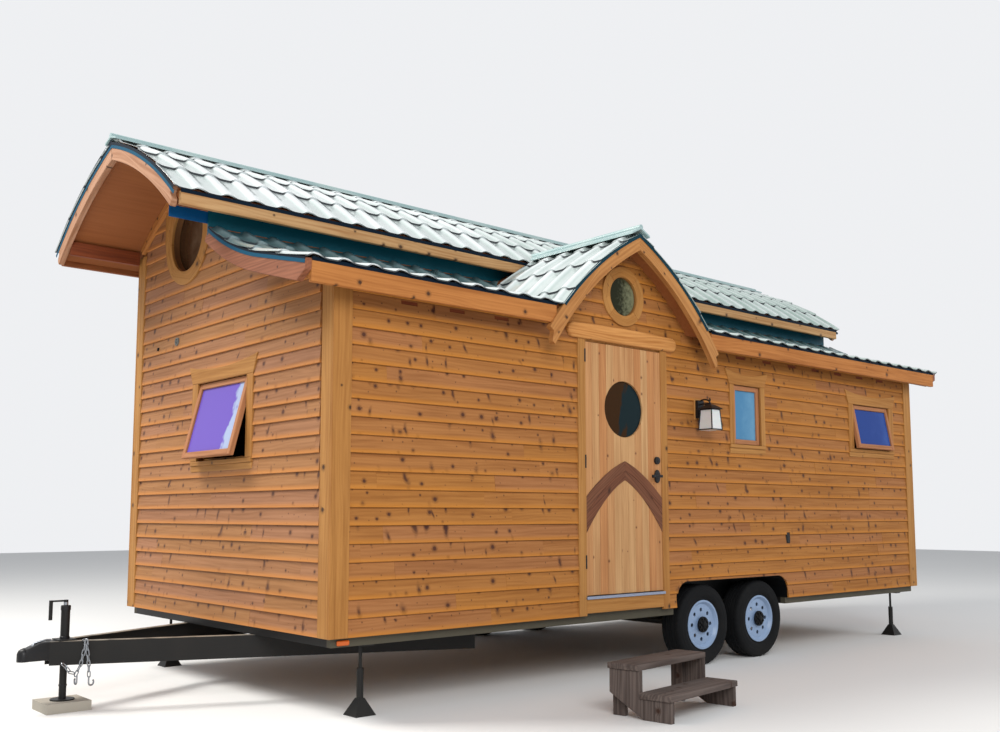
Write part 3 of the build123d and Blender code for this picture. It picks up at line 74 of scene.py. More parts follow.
class Signal:
    """A shader socket that takes part in arithmetic, each step of it a Math node."""

    def __init__(self, bench: "Bench", socket: bpy.types.NodeSocket) -> None:
        """Wrap a socket of a bench's material."""
        self.bench = bench
        self.socket = socket

    def _math(self, operation: str, *values: "Signal | float") -> "Signal":
        """Add a Math node with this operation on these values."""
        inputs = dict(enumerate(values))
        return self.bench.node("ShaderNodeMath", {"operation": operation}, inputs)

    def __add__(self, other: "Signal | float") -> "Signal":
        """Sum."""
        return self._math("ADD", self, other)

    def __radd__(self, other: float) -> "Signal":
        """Sum with a number in front."""
        return self._math("ADD", other, self)

    def __sub__(self, other: "Signal | float") -> "Signal":
        """Difference."""
        return self._math("SUBTRACT", self, other)

    def __rsub__(self, other: float) -> "Signal":
        """Difference from a number."""
        return self._math("SUBTRACT", other, self)

    def __mul__(self, other: "Signal | float") -> "Signal":
        """Product."""
        return self._math("MULTIPLY", self, other)

    def __truediv__(self, other: "Signal | float") -> "Signal":
        """Quotient."""
        return self._math("DIVIDE", self, other)

    def __gt__(self, other: "Signal | float") -> "Signal":
        """One where this is greater, and zero elsewhere."""
        return self._math("GREATER_THAN", self, other)

    def sine(self) -> "Signal":
        """Sine of an angle in radians."""
        return self._math("SINE", self)

    def fraction(self) -> "Signal":
        """What is left after the whole number."""
        return self._math("FRACT", self)


class Bench:
    """A material under construction: its nodes and its shader."""

    def __init__(self, name: str) -> None:
        """Start a material with a plain principled shader.

        Args:
            name: The material's name.
        """
        self.material = bpy.data.materials.new(name)
        self.material.use_nodes = True
        self.tree = self.material.node_tree
        self.shader = self.tree.nodes["Principled BSDF"]
        self.exit = self.tree.nodes["Material Output"]

    def node(self, kind: str, settings: dict[str, object] | None = None,
             inputs: dict[str | int, object] | None = None, output: str | int = 0) -> Signal:
        """Add a node.

        Args:
            kind: The node's type.
            settings: Its own settings, set before its sockets.
            inputs: Values or signals for its sockets, by name or number.
            output: The socket that is returned.

        Returns:
            The chosen output.
        """
        made = self.tree.nodes.new(kind)
        for key, value in (settings or {}).items():
            setattr(made, key, value)
        for key, value in (inputs or {}).items():
            self.feed(made.inputs[key], value)
        return Signal(self, made.outputs[output])

    def feed(self, socket: bpy.types.NodeSocket, value: object) -> None:
        """Link a signal to a socket, or set the socket's own value.

        Args:
            socket: The socket.
            value: A signal, or the socket's own value.
        """
        if isinstance(value, Signal):
            self.tree.links.new(value.socket, socket)
        else:
            socket.default_value = value

    def set(self, **inputs: object) -> "Bench":
        """Set or link sockets of the shader, written with underscores for spaces.

        Args:
            inputs: Values or signals by the sockets' names.

        Returns:
            This bench.
        """
        for key, value in inputs.items():
            self.feed(self.shader.inputs[key.replace("_", " ")], value)
        return self

    def mix(self, share: Signal | float, first: Signal | Colour, second: Signal | Colour,
            blend: str = "MIX") -> Signal:
        """Blend two colours by a share.

        Args:
            share: How much of the second colour shows.
            first: The first colour.
            second: The second colour.
            blend: How the second is laid over the first.

        Returns:
            The blended colour.
        """
        made = self.tree.nodes.new("ShaderNodeMix")
        made.data_type = "RGBA"
        made.blend_type = blend
        sockets = {s.identifier: s for s in made.inputs}
        self.feed(sockets["Factor_Float"], share)
        self.feed(sockets["A_Color"], first)
        self.feed(sockets["B_Color"], second)
        return Signal(self, {s.identifier: s for s in made.outputs}["Result_Color"])

    def step(self, value: Signal, low: float, high: float) -> Signal:
        """Rise smoothly from zero to one as a value goes from low to high.

        Args:
            value: The value.
            low: Where the rise starts.
            high: Where it ends; it may lie below low.

        Returns:
            The share that has risen.
        """
        settings = {"interpolation_type": "SMOOTHSTEP"}
        ends = (low, high, 0.0, 1.0) if low < high else (high, low, 1.0, 0.0)
        names = ("From Min", "From Max", "To Min", "To Max")
        return self.node("ShaderNodeMapRange", settings, {"Value": value, **dict(zip(names, ends))})

    def stretch(self, vector: Signal, scale: Sequence[float]) -> Signal:
        """Scale a vector."""
        return self.node("ShaderNodeVectorMath", {"operation": "MULTIPLY"}, {0: vector, 1: tuple(scale)})

    def noise(self, vector: Signal, scale: float = 1.0, detail: float = 3.0,
              roughness: float = 0.55) -> Signal:
        """Soft noise from 0 to 1."""
        inputs = {"Vector": vector, "Scale": scale, "Detail": detail, "Roughness": roughness}
        return self.node("ShaderNodeTexNoise", {}, inputs)

    def part(self, vector: Signal, axis: str) -> Signal:
        """One component of a vector."""
        return self.node("ShaderNodeSeparateXYZ", {}, {0: vector}, axis)

    def object_place(self) -> Signal:
        """Place on the object in its own metres."""
        return self.node("ShaderNodeTexCoord", {}, {}, "Object")

    def attribute(self, name: str, output: str) -> Signal:
        """A value that the mesh carries."""
        return self.node("ShaderNodeAttribute", {"attribute_name": name}, {}, output)

    def bump(self, height: Signal, distance: float, strength: float = 1.0) -> "Bench":
        """Raise the surface by a height in steps of a distance in metres."""
        made = self.node("ShaderNodeBump", {}, {"Height": height, "Distance": distance, "Strength": strength})
        return self.set(Normal=made)


class Lengthways(Enum):
    """Where a timber finish finds which way its boards run."""

    BOARD = "grain carried by the mesh"
    X = "boards along X"
    Y = "boards along Y"
    Z = "upright boards"


@dataclass(frozen=True)
class Finish:
    """A surface finish; each kind builds its own material once."""

    name: str

    def dress(self, bench: Bench) -> None:
        """Add the finish to a new material."""

    def material(self) -> bpy.types.Material:
        """The finish's material, made at its first use.

        Returns:
            The material.
        """
        found = bpy.data.materials.get(self.name)
        if found is None:
            bench = Bench(self.name)
            self.dress(bench)
            found = bench.material
        return found


@dataclass(frozen=True)
class Wood(Finish):
    """Timber with grain, knots and a tone that differs from board to board."""

    pale: Colour
    deep: Colour
    blush: Colour
    knot: Colour = shade(52, 29, 16)
    run: Lengthways = Lengthways.BOARD
    knots: float = 0.55
    knot_size: float = 1.0
    spikes: float = 0.0
    specks: float = 0.0
    ring_contrast: float = 0.30
    tone_contrast: float = 0.75
    roughness: float = 0.62
    specular: float = 0.25
    relief: float = 0.0006
    knot_cells: Point = (7.2, 7.6)
    spike_cells: Point = (6.0, 2.1)
    speck_cells: Point = (13.0, 13.0)

    def place(self, bench: Bench, tone: Signal) -> Signal:
        """Place on the board: along the grain, across it and through it, apart from every other board.

        Args:
            bench: The material's bench.
            tone: The board's own tone.

        Returns:
            The place, in metres.
        """
        if self.run is Lengthways.BOARD:
            return bench.attribute("grain", "Vector")
        where = bench.object_place()
        order = {Lengthways.X: "XZY", Lengthways.Y: "YZX", Lengthways.Z: "ZXY"}[self.run]
        parts = {target: bench.part(where, source) for target, source in zip("XYZ", order)}
        apart = tone * 71.0
        parts["X"] = parts["X"] + apart
        parts["Y"] = parts["Y"] + apart
        return bench.node("ShaderNodeCombineXYZ", {}, parts)

    def scatter(self, bench: Bench, where: Signal, scale: Sequence[float], share: float,
                size: tuple[float, float]) -> tuple[Signal, Signal]:
        """Scatter spots over the boards, one to a cell.

        Args:
            bench: The material's bench.
            where: Place on the board.
            scale: Cells to the metre along and across the grain.
            share: Share of the cells that hold a spot.
            size: Least radius of a spot in cells, and how much it may grow.

        Returns:
            Distance from the nearest spot in its own radii, and one in the cells that hold a spot.
        """
        cells = {"voronoi_dimensions": "2D"}
        inputs = {"Vector": bench.stretch(where, (*scale, 1.0)), "Scale": 1.0, "Randomness": 0.9}
        reach = bench.node("ShaderNodeTexVoronoi", cells, inputs, "Distance")
        luck = bench.node("ShaderNodeTexVoronoi", cells, inputs, "Color")
        radius = bench.part(luck, "Y") * size[1] + size[0]
        wobble = (bench.noise(where, 70.0, 2.0) - 0.5) * size[0] * 0.8
        return (reach + wobble) / radius, bench.part(luck, "X") > (1.0 - share)

    def add_painted_light(self, bench: Bench, body: Signal) -> Signal:
        """Add painted light to the finished colour; plain timber adds none."""
        return body

    def dress(self, bench: Bench) -> None:
        """Add rings, fibres, knots with their halos, and a slight relief.

        Args:
            bench: The material's bench.
        """
        tone = bench.attribute("tone", "Fac")
        where = self.place(bench, tone)
        grow = self.knot_size
        sizes = (0.040 * grow, 0.072 * grow)
        near, there = self.scatter(bench, where, self.knot_cells, self.knots, sizes)
        core = bench.step(near, 1.25, 0.6) * there
        halo = bench.step(near, 2.6, 0.7) * there
        if self.spikes:
            bend = bench.part(where, "Y") * 0.12 + bench.noise(where, 7.0, 1.0) * 0.09
            parts = {"X": bench.part(where, "X") + bend, "Y": bench.part(where, "Y")}
            slanted = bench.node("ShaderNodeCombineXYZ", {}, parts)
            far, held = self.scatter(bench, slanted, self.spike_cells, self.spikes, (0.034, 0.042))
            core = core + bench.step(far, 1.25, 0.5) * held * 0.9
            halo = halo + bench.step(far, 2.6, 0.7) * held
        if self.specks:
            dot, shown = self.scatter(bench, where, self.speck_cells, self.specks, (0.04, 0.06))
            core = core + bench.step(dot, 1.2, 0.5) * shown * 0.8
        drift = bench.noise(bench.stretch(where, (0.7, 5.0, 5.0)), 1.0, 2.0)
        rings = ((bench.part(where, "Y") * 240.0 + drift * 46.0 + halo * 5.0).sine()) * 0.5 + 0.5
        fibre = bench.noise(bench.stretch(where, (9.0, 420.0, 420.0)), 1.0, 2.0)
        streak = bench.noise(bench.stretch(where, (1.1, 38.0, 38.0)), 1.0, 3.0)
        blotch = bench.noise(bench.stretch(where, (1.6, 5.0, 5.0)), 1.0, 2.0)
        depth = rings * self.ring_contrast * 0.55 + (streak - 0.5) * 1.1 + (fibre - 0.5) * 0.3 + blotch * 0.6
        body = bench.mix(bench.step(depth, 0.0, 0.9), self.pale, self.deep)
        mood = bench.step((tone * 7.31).fraction(), 0.1, 0.95) * self.tone_contrast
        body = bench.mix(mood, body, bench.mix(1.0, body, self.blush, "MULTIPLY"))
        body = bench.mix(halo * 0.5, body, self.knot)
        body = bench.mix(core * 0.85, body, self.knot)
        # Lap siding paints its light and shade on here.
        body = self.add_painted_light(bench, body)
        bench.set(Base_Color=body, Roughness=self.roughness + (streak - 0.5) * 0.22 - core * 0.12)
        bench.set(Specular_IOR_Level=self.specular)
        bench.bump(fibre * 0.4 + rings * 0.35 - core * 0.5, self.relief)


@dataclass(frozen=True)
class Lapped(Wood):
    """Lap siding, with a painted glow of bounce light along the lower edge of each course and painted shade
    under the next.
    """

    foot: float = 0.5
    course: float = 0.1143
    # Colour of the painted bounce light along each course's lower edge.
    painted_glow: Colour = shade(190, 122, 44)
    # Colour of the painted shade under the course above.
    painted_shadow: Colour = shade(84, 44, 16)

    def add_painted_light(self, bench: Bench, body: Signal) -> Signal:
        """Add the painted glow and the painted shadow of each course.

        Args:
            bench: The material's bench.
            body: The colour so far.

        Returns:
            The changed colour.
        """
        share = ((bench.part(bench.object_place(), "Z") - self.foot) / self.course).fraction()
        # Painted bounce light over the lower part of each course.
        low = bench.step(share, 0.36, 0.02)
        # Painted shade just under the course above.
        high = bench.step(share, 0.90, 0.985)
        body = bench.mix(low * 0.7, body, self.painted_glow)
        return bench.mix(high * 0.35, body, self.painted_shadow)


@dataclass(frozen=True)
class Paint(Finish):
    """Paint or powder coat on sheet metal, with a little dust and unevenness."""

    colour: Colour
    worn: Colour
    roughness: float = 0.38
    metallic: float = 0.0
    specular: float = 0.4
    dust: float = 0.25
    relief: float = 0.0002

    def dress(self, bench: Bench) -> None:
        """Add broad and fine unevenness.

        Args:
            bench: The material's bench.
        """
        where = bench.object_place()
        broad = bench.noise(where, 2.6, 4.0)
        fine = bench.noise(where, 160.0, 2.0)
        share = bench.step(broad, 0.42, 0.78) * self.dust + (fine - 0.5) * self.dust * 0.5
        bench.set(Base_Color=bench.mix(share, self.colour, self.worn), Metallic=self.metallic)
        bench.set(Roughness=self.roughness + (broad - 0.5) * 0.2 + (fine - 0.5) * 0.08)
        bench.set(Specular_IOR_Level=self.specular)
        bench.bump(fine, self.relief)


@dataclass(frozen=True)
class BeamSteel(Paint):
    """Black beam steel, paler in patches above a height."""

    pale_top: Colour = shade(150, 140, 126)
    height: float = 0.4405

    def dress(self, bench: Bench) -> None:
        """Make the paint paler in patches above the height.

        Args:
            bench: The material's bench.
        """
        super().dress(bench)
        base = Signal(bench, bench.shader.inputs["Base Color"].links[0].from_socket)
        where = bench.object_place()
        above = bench.step(bench.part(where, "Z"), self.height - 0.001, self.height + 0.001)
        patch = bench.step(bench.noise(where, 9.0, 3.0), 0.2, 0.6)
        bench.set(Base_Color=bench.mix(above * patch * 0.85, base, self.pale_top))


@dataclass(frozen=True)
class TilePaint(Finish):
    """Glossy roof paint, with painted glare over the crowns, towards the hitch end and in broad patches, and
    a painted shadow under the front edge of each course.

    Above a given height it takes a painted shadow of the eave above.
    """

    colour: Colour = shade(116, 142, 132)
    # Colour of the painted sun glare.
    painted_glare: Colour = shade(234, 238, 240)
    # Colour of the painted eave shadow, and the height from which it falls.
    painted_eave_shadow: Colour = shade(24, 92, 98)
    eave_shadow_from: float = 10.0
    # Colour of the painted shadow under each course's front edge.
    dark: Colour = shade(0, 16, 26)

    def dress(self, bench: Bench) -> None:
        """Add the painted glare, the painted eave shadow and the painted shadow line that the mesh marks.

        Args:
            bench: The material's bench.
        """
        where = bench.object_place()
        broad = bench.noise(where, 1.7, 3.0)
        fine = bench.noise(where, 130.0, 2.0)
        painted_light_mark = bench.attribute("tone", "Fac")
        # Painted glare on the crowns.
        crown = bench.step(painted_light_mark, 0.02, 0.5)
        # Painted shadow under each course's front edge.
        edge = bench.step(painted_light_mark, 0.6, 0.95)
        # Painted sunlight, stronger towards the hitch end.
        sunny = bench.step(bench.part(where, "X"), 2.5, -2.5)
        # Painted glare: broad patches, the crowns and the hitch end.
        share = bench.step(broad, 0.3, 0.8) * 0.3 + crown * 0.3 + sunny * 0.35
        body = bench.mix(share, self.colour, self.painted_glare)
        # Painted shadow of the eave above, over the given height.
        under = bench.step(bench.part(where, "Z"), self.eave_shadow_from, self.eave_shadow_from + 0.08)
        body = bench.mix(under * 0.7, body, self.painted_eave_shadow)
        body = bench.mix(edge * 0.95, body, self.dark)
        bench.set(Base_Color=body, Roughness=0.3 + (broad - 0.5) * 0.2 + edge * 0.4)
        bench.set(Specular_IOR_Level=0.6)
        bench.set(Coat_Weight=1.0 - edge * 0.95, Coat_Roughness=0.14)
        bench.bump(fine, 0.0002)


@dataclass(frozen=True)
class Rubber(Finish):
    """Tyre rubber, greyer with dust low on the tread."""

    colour: Colour = shade(13, 14, 16)
    dusty: Colour = shade(44, 42, 39)

    def dress(self, bench: Bench) -> None:
        """Add dust and a fine moulded skin.

        Args:
            bench: The material's bench.
        """
        where = bench.object_place()
        broad = bench.noise(where, 9.0, 4.0)
        fine = bench.noise(where, 420.0, 2.0)
        low = bench.step(bench.part(where, "Z"), 0.2, 0.0)
        share = bench.step(broad, 0.5, 0.9) * 0.25 + low * 0.2
        bench.set(Base_Color=bench.mix(share, self.colour, self.dusty), Roughness=0.78 + (fine - 0.5) * 0.2)
        bench.set(Specular_IOR_Level=0.18)
        bench.bump(fine, 0.0003)


@dataclass(frozen=True)
class Pane(Finish):
    """Glass over a dim room; its colour paints the room seen through it and a reflection that turns paler to
    one side.
    """

    room_and_reflection: Colour
    painted_gleam: Colour
    start: float = 0.5
    end: float = 0.9
    see_through: float = 0.2
    mottle: float = 3.1

    def dress(self, bench: Bench) -> None:
        """Mix a clear pane with a glossy one whose colour holds the painted reflection, uneven like float
        glass.

        Args:
            bench: The material's bench.
        """
        where = bench.attribute("grain", "Vector")
        drift = bench.noise(where, self.mottle, 3.0) - 0.5
        # Painted reflection, paler towards one side.
        share = bench.step(bench.part(where, "X") + drift * 0.9, self.start, self.end)
        bench.set(Base_Color=bench.mix(share, self.room_and_reflection, self.painted_gleam), Roughness=0.08 + drift * 0.04)
        bench.set(Specular_IOR_Level=0.08)
        bench.bump(drift, 0.002, 0.4)
        clear = bench.node("ShaderNodeBsdfTransparent", {}, {"Color": (0.86, 0.88, 0.92, 1.0)})
        edge = bench.node("ShaderNodeLayerWeight", {}, {"Blend": 0.35}, "Facing")
        glossy = Signal(bench, bench.shader.outputs[0])
        share = (1.0 - edge * 0.5) * self.see_through
        both = bench.node("ShaderNodeMixShader", {}, {0: share, 1: glossy, 2: clear})
        bench.tree.links.new(both.socket, bench.exit.inputs["Surface"])


@dataclass(frozen=True)
class Frosted(Finish):
    """Etched lantern glass."""

    colour: Colour = shade(236, 238, 236)

    def dress(self, bench: Bench) -> None:
        """Add a milky, slightly mottled body.

        Args:
            bench: The material's bench.
        """
        where = bench.object_place()
        grain = bench.noise(where, 220.0, 3.0)
        broad = bench.noise(where, 14.0, 2.0)
        bench.set(Base_Color=bench.mix(broad * 0.5, self.colour, shade(206, 212, 214)))
        bench.set(Roughness=0.32 + (grain - 0.5) * 0.2, Transmission_Weight=0.25, Subsurface_Weight=0.2)
        bench.bump(grain, 0.0004)


PINKER: Colour = (0.92, 0.93, 1.5, 1.0)
CEDAR = Lapped("cedar_siding", pale=shade(168, 112, 53), deep=shade(136, 84, 34), blush=PINKER,
               knot=shade(62, 30, 20), run=Lengthways.X, knots=0.55, spikes=0.8, specks=0.4,
               tone_contrast=1.0)
# The end walls' copy of the cedar is coloured for the light that falls on those walls: painted light.
CEDAR_ENDS = Lapped("cedar_siding_ends", pale=shade(163, 115, 72), deep=shade(133, 89, 50),
                    blush=(0.95, 0.95, 1.3, 1.0), knot=shade(70, 38, 26), run=Lengthways.Y, knots=0.45,
                    spikes=0.7, specks=0.35, tone_contrast=0.9, painted_glow=shade(200, 130, 62))
WALL_BOARDS = Wood("wall_boards", pale=shade(150, 98, 52), deep=shade(112, 66, 32),
                   blush=shade(220, 190, 160), run=Lengthways.X, knots=0.3)
TRIM = Wood("yellow_trim", pale=shade(176, 126, 68), deep=shade(145, 97, 46), blush=shade(244, 230, 206),
            knots=0.22, tone_contrast=0.6)
TRIM_Z = Wood("upright_trim", pale=shade(188, 134, 76), deep=shade(152, 100, 48),
              blush=shade(240, 222, 186), run=Lengthways.Z, knots=0.1, tone_contrast=0.4)
TRIM_WARM = Wood("warm_fascia", pale=shade(186, 124, 66), deep=shade(150, 92, 42),
                 blush=shade(240, 218, 190), knots=0.3, tone_contrast=0.5)
ROUNDED_WOOD = Wood("rounded_lintel", pale=shade(206, 148, 86), deep=shade(168, 110, 54),
                    blush=shade(244, 230, 206), knots=0.3, ring_contrast=0.5)
ARCH_BOARD = Wood("arch_boards", pale=shade(186, 144, 116), deep=shade(146, 101, 70),
                  blush=shade(240, 220, 200), knots=0.2, ring_contrast=0.5, tone_contrast=0.5)
SKIRT_BOARD = Wood("skirt_boards", pale=shade(154, 100, 74), deep=shade(120, 74, 52),
                   blush=shade(240, 220, 200), knots=0.2, ring_contrast=0.5, tone_contrast=0.5)
DORMER_BOARD = Wood("dormer_boards", pale=shade(186, 132, 76), deep=shade(150, 98, 50),
                    blush=shade(236, 216, 200), knots=0.3, ring_contrast=0.4, tone_contrast=0.6)
FOOT_BEAM = Wood("foot_beam_wood", pale=shade(130, 66, 34), deep=shade(98, 46, 22),
                 blush=shade(236, 210, 190), knots=0.2, ring_contrast=0.4, tone_contrast=0.3)
FASCIA_PALE = Wood("pale_fascia", pale=shade(190, 150, 104), deep=shade(152, 106, 62),
                   blush=shade(240, 226, 200), knots=0.35, ring_contrast=0.4, tone_contrast=0.5)
# Shaded copy of the pale fascia wood, for the far side's fascia: painted shade.
FASCIA_PAINTED_SHADE = Wood("fascia_painted_shade", pale=shade(150, 90, 50), deep=shade(114, 62, 30),
                   blush=shade(240, 226, 200), knots=0.3, ring_contrast=0.4, tone_contrast=0.4)
SASH_WOOD = Wood("sash_wood", pale=shade(176, 122, 84), deep=shade(140, 90, 56), blush=shade(236, 212, 190),
                 knots=0.06, tone_contrast=0.3)
DOOR_WOOD = Wood("door_boards", pale=shade(194, 152, 105), deep=shade(162, 117, 74),
                 blush=shade(244, 218, 200), knot=shade(92, 50, 28), knots=0.3, knot_size=0.6,
                 ring_contrast=0.25, tone_contrast=0.9)
LINING = Wood("porthole_lining", pale=shade(128, 92, 58), deep=shade(100, 68, 40),
              blush=shade(240, 222, 204), knots=0.0)
WALNUT = Wood("dark_inlay", pale=shade(122, 78, 54), deep=shade(80, 46, 30), blush=shade(230, 206, 196),
              knots=0.06, ring_contrast=0.5, tone_contrast=0.4)
PALE_BLOCK = Wood("bleached_block", pale=shade(176, 170, 158), deep=shade(138, 130, 118),
                  blush=shade(236, 230, 222), knots=0.1, roughness=0.85)
OLD_WOOD = Wood("weathered_boards", pale=shade(106, 94, 88), deep=shade(70, 60, 56),
                blush=shade(214, 210, 206), knots=0.25, ring_contrast=0.6, tone_contrast=0.8,
                roughness=0.85, relief=0.0012)
SOFFIT = Wood("soffit_ply", pale=shade(150, 91, 50), deep=shade(136, 80, 43), blush=shade(236, 212, 190),
              run=Lengthways.X, knots=0.05, knot_size=0.4, ring_contrast=0.1, tone_contrast=0.2)
FLOOR_PLY = Wood("floor_ply", pale=shade(186, 144, 96), deep=shade(144, 100, 60),
                 blush=shade(226, 206, 180), run=Lengthways.X, knots=0.1)
TILE_PAINT = TilePaint("tile_paint")
# The skirt tiles take the painted eave shadow from 2.93 m up.
SKIRT_PAINT = TilePaint("skirt_tile_paint", eave_shadow_from=2.93)
BAND_PAINT = Paint("band_paint", shade(0, 76, 92), shade(30, 100, 112), roughness=0.42, specular=0.2)
CAP_PAINT = Paint("ridge_cap_paint", shade(148, 172, 172), shade(190, 202, 198), roughness=0.32, dust=0.6)
FLASHING_PAINT = Paint("flashing_paint", shade(0, 72, 98), shade(10, 86, 110), roughness=0.5, specular=0.12)
CLOSER_PAINT = Paint("closer_paint", shade(0, 76, 128), shade(14, 92, 140), roughness=0.4, specular=0.2)
EDGE_PAINT = Paint("edge_paint", shade(0, 44, 56), shade(14, 62, 72), roughness=0.5, specular=0.15)
# Near-black that stands for the shade in the gaps under the tiles' edges: painted shade.
PAINTED_GAP_SHADE = Paint("painted_gap_shade", shade(4, 20, 34), shade(10, 36, 50), roughness=0.5, specular=0.1)
BLACK_STEEL = Paint("black_steel", shade(27, 26, 25), shade(52, 48, 43), roughness=0.5, specular=0.22)
BEAM_STEEL = BeamSteel("beam_steel", shade(27, 26, 25), shade(48, 44, 39), roughness=0.5, specular=0.22)
IRON = Paint("black_iron", shade(20, 20, 22), shade(34, 34, 36), roughness=0.42, specular=0.3)
ZINC = Paint("zinc_steel", shade(150, 154, 160), shade(104, 104, 104), roughness=0.36, metallic=0.85)
# White rim paint, darkened and blued: painted blue shade.
RIM_PAINTED_SHADE = Paint("rim_paint", shade(134, 156, 186), shade(98, 112, 132), roughness=0.35, dust=0.3)
HUB_BLACK = Paint("hub_black", shade(9, 10, 12), shade(24, 22, 20), roughness=0.5, specular=0.2)
VENT_GREY = Paint("vent_grey", shade(104, 104, 100), shade(60, 58, 54), roughness=0.6)
# Dark paint that stands for the shade inside holes: painted shade.
HOLE_PAINTED_SHADE = Paint("hole_painted_shade", shade(10, 10, 12), shade(20, 18, 18), roughness=0.8, specular=0.1)
THRESHOLD_METAL = Paint("threshold_metal", shade(150, 158, 178), shade(112, 116, 126), roughness=0.32,
                        metallic=0.6)
RAIL_GREY = Paint("rail_grey", shade(78, 74, 62), shade(52, 48, 40), roughness=0.6, specular=0.2)
AMBER = Paint("amber_lens", shade(196, 92, 30), shade(160, 66, 24), roughness=0.2)
# Each pane's two colours paint the room behind the glass and the reflection on it.
PURPLE_PANE = Pane("hitch_pane_glass", shade(108, 86, 178), shade(160, 174, 204), 0.8, 0.9, 0.03)
BLUE_PANE = Pane("rear_awning_pane_glass", shade(30, 62, 134), shade(50, 82, 152), 0.5, 1.3, 0.03)
SKY_PANE = Pane("narrow_pane_glass", shade(78, 130, 168), shade(102, 150, 182), 0.2, 1.2, 0.03)
LOFT_PANE = Pane("loft_pane_glass", shade(66, 44, 28), shade(104, 84, 66), 0.3, 0.9, 0.05)
DORMER_PANE = Pane("dormer_pane_glass", shade(34, 36, 20), shade(120, 122, 94), 0.35, 1.05, 0.03, 9.0)
DOOR_PANE = Pane("door_pane_glass", shade(52, 30, 6), shade(18, 34, 38), 0.50, 0.58, 0.02)
HOUSE_PANE = Pane("far_pane_glass", shade(82, 98, 132), shade(150, 166, 190), 0.4, 0.9, 0.2)
TYRE = Rubber("tyre_rubber")
ETCHED = Frosted("etched_glass")


def prism(outline: Sequence[Point], thickness: float, chamfer: float = 0.0,
          segments: int = 1) -> bmesh.types.BMesh:
    """Make a solid from a flat outline, with its sharp edges eased.

    Args:
        outline: Points of the outline, anticlockwise seen from +Z.
        thickness: Thickness along +Z.
        chamfer: How much is taken off each sharp edge.
        segments: Steps round each eased edge.

    Returns:
        The solid, in its own coordinates.
    """
    solid = bmesh.new()
    low = [solid.verts.new((x, y, 0.0)) for x, y in outline]
    high = [solid.verts.new((x, y, thickness)) for x, y in outline]
    solid.faces.new(low[::-1])
    solid.faces.new(high)
    for index in range(len(outline)):
        after = (index + 1) % len(outline)
        solid.faces.new((low[index], low[after], high[after], high[index]))
    if chamfer:
        solid.normal_update()
        sharp = [e for e in solid.edges if e.calc_face_angle(0.0) > math.radians(28)]
        bmesh.ops.bevel(solid, geom=sharp, offset=chamfer, segments=segments, profile=0.5, affect="EDGES",
                        clamp_overlap=True)
    return solid


def rectangle(width: float, height: float, x: float = 0.0, y: float = 0.0) -> list[Point]:
    """Outline of a rectangle with its lowest corner at x, y."""
    return [(x, y), (x + width, y), (x + width, y + height), (x, y + height)]


def arc(radius: float, start: float, end: float, count: int, x: float = 0.0, y: float = 0.0) -> list[Point]:
    """Points along an arc between two angles, both ends included."""
    turns = [start + (end - start) * index / count for index in range(count + 1)]
    return [(x + radius * math.cos(turn), y + radius * math.sin(turn)) for turn in turns]


def circle(radius: float, x: float = 0.0, y: float = 0.0, count: int = 48) -> list[Point]:
    """Outline of a circle."""
    return arc(radius, 0.0, math.tau, count, x, y)[:-1]


def shares(count: int) -> list[float]:
    """Evenly spaced shares from zero to one."""
    return [index / count for index in range(count + 1)]


def upright(x: float, y: float) -> Point:
    """Grain that runs up a board."""
    return y, x


def bisect(low: float, high: float, beyond: Callable[[float], bool]) -> float:
    """Value between two ends at which a test starts to hold.

    Args:
        low: Where the test doesn't hold.
        high: Where it holds.
        beyond: The test.

    Returns:
        The last value found at which it doesn't hold.
    """
    for _ in range(45):
        middle = (low + high) / 2
        low, high = (low, middle) if beyond(middle) else (middle, high)
    return low


def lathe(profile: Sequence[Point], count: int, ripple: Callable[[int, int], float] | None = None,
          closed: bool = True) -> bmesh.types.BMesh:
    """Turn a profile of radius and height round the Z axis.

    Args:
        profile: Points of radius and height.
        count: Steps round the axis.
        ripple: Extra radius for a profile point and a step.
        closed: Whether the profile's ends join into a ring; open ends lie on the axis.

    Returns:
        The turned solid.
    """
    solid = bmesh.new()
    rings: list[list[bmesh.types.BMVert]] = []
    for number, (radius, height) in enumerate(profile):
        if radius < 1e-6:
            rings.append([solid.verts.new((0.0, 0.0, height))] * count)
            continue
        ring = []
        for index in range(count):
            turn = 2 * math.pi * index / count
            reach = radius + (ripple(number, index) if ripple else 0.0)
            ring.append(solid.verts.new((reach * math.cos(turn), reach * math.sin(turn), height)))
        rings.append(ring)
    pairs = list(zip(rings, rings[1:])) + ([(rings[-1], rings[0])] if closed else [])
    for first, second in pairs:
        for index in range(count):
            after = (index + 1) % count
            corners = [first[index], first[after], second[after], second[index]]
            distinct = list(dict.fromkeys(corners))
            if len(distinct) > 2:
                solid.faces.new(distinct)
    bmesh.ops.recalc_face_normals(solid, faces=solid.faces)
    return solid


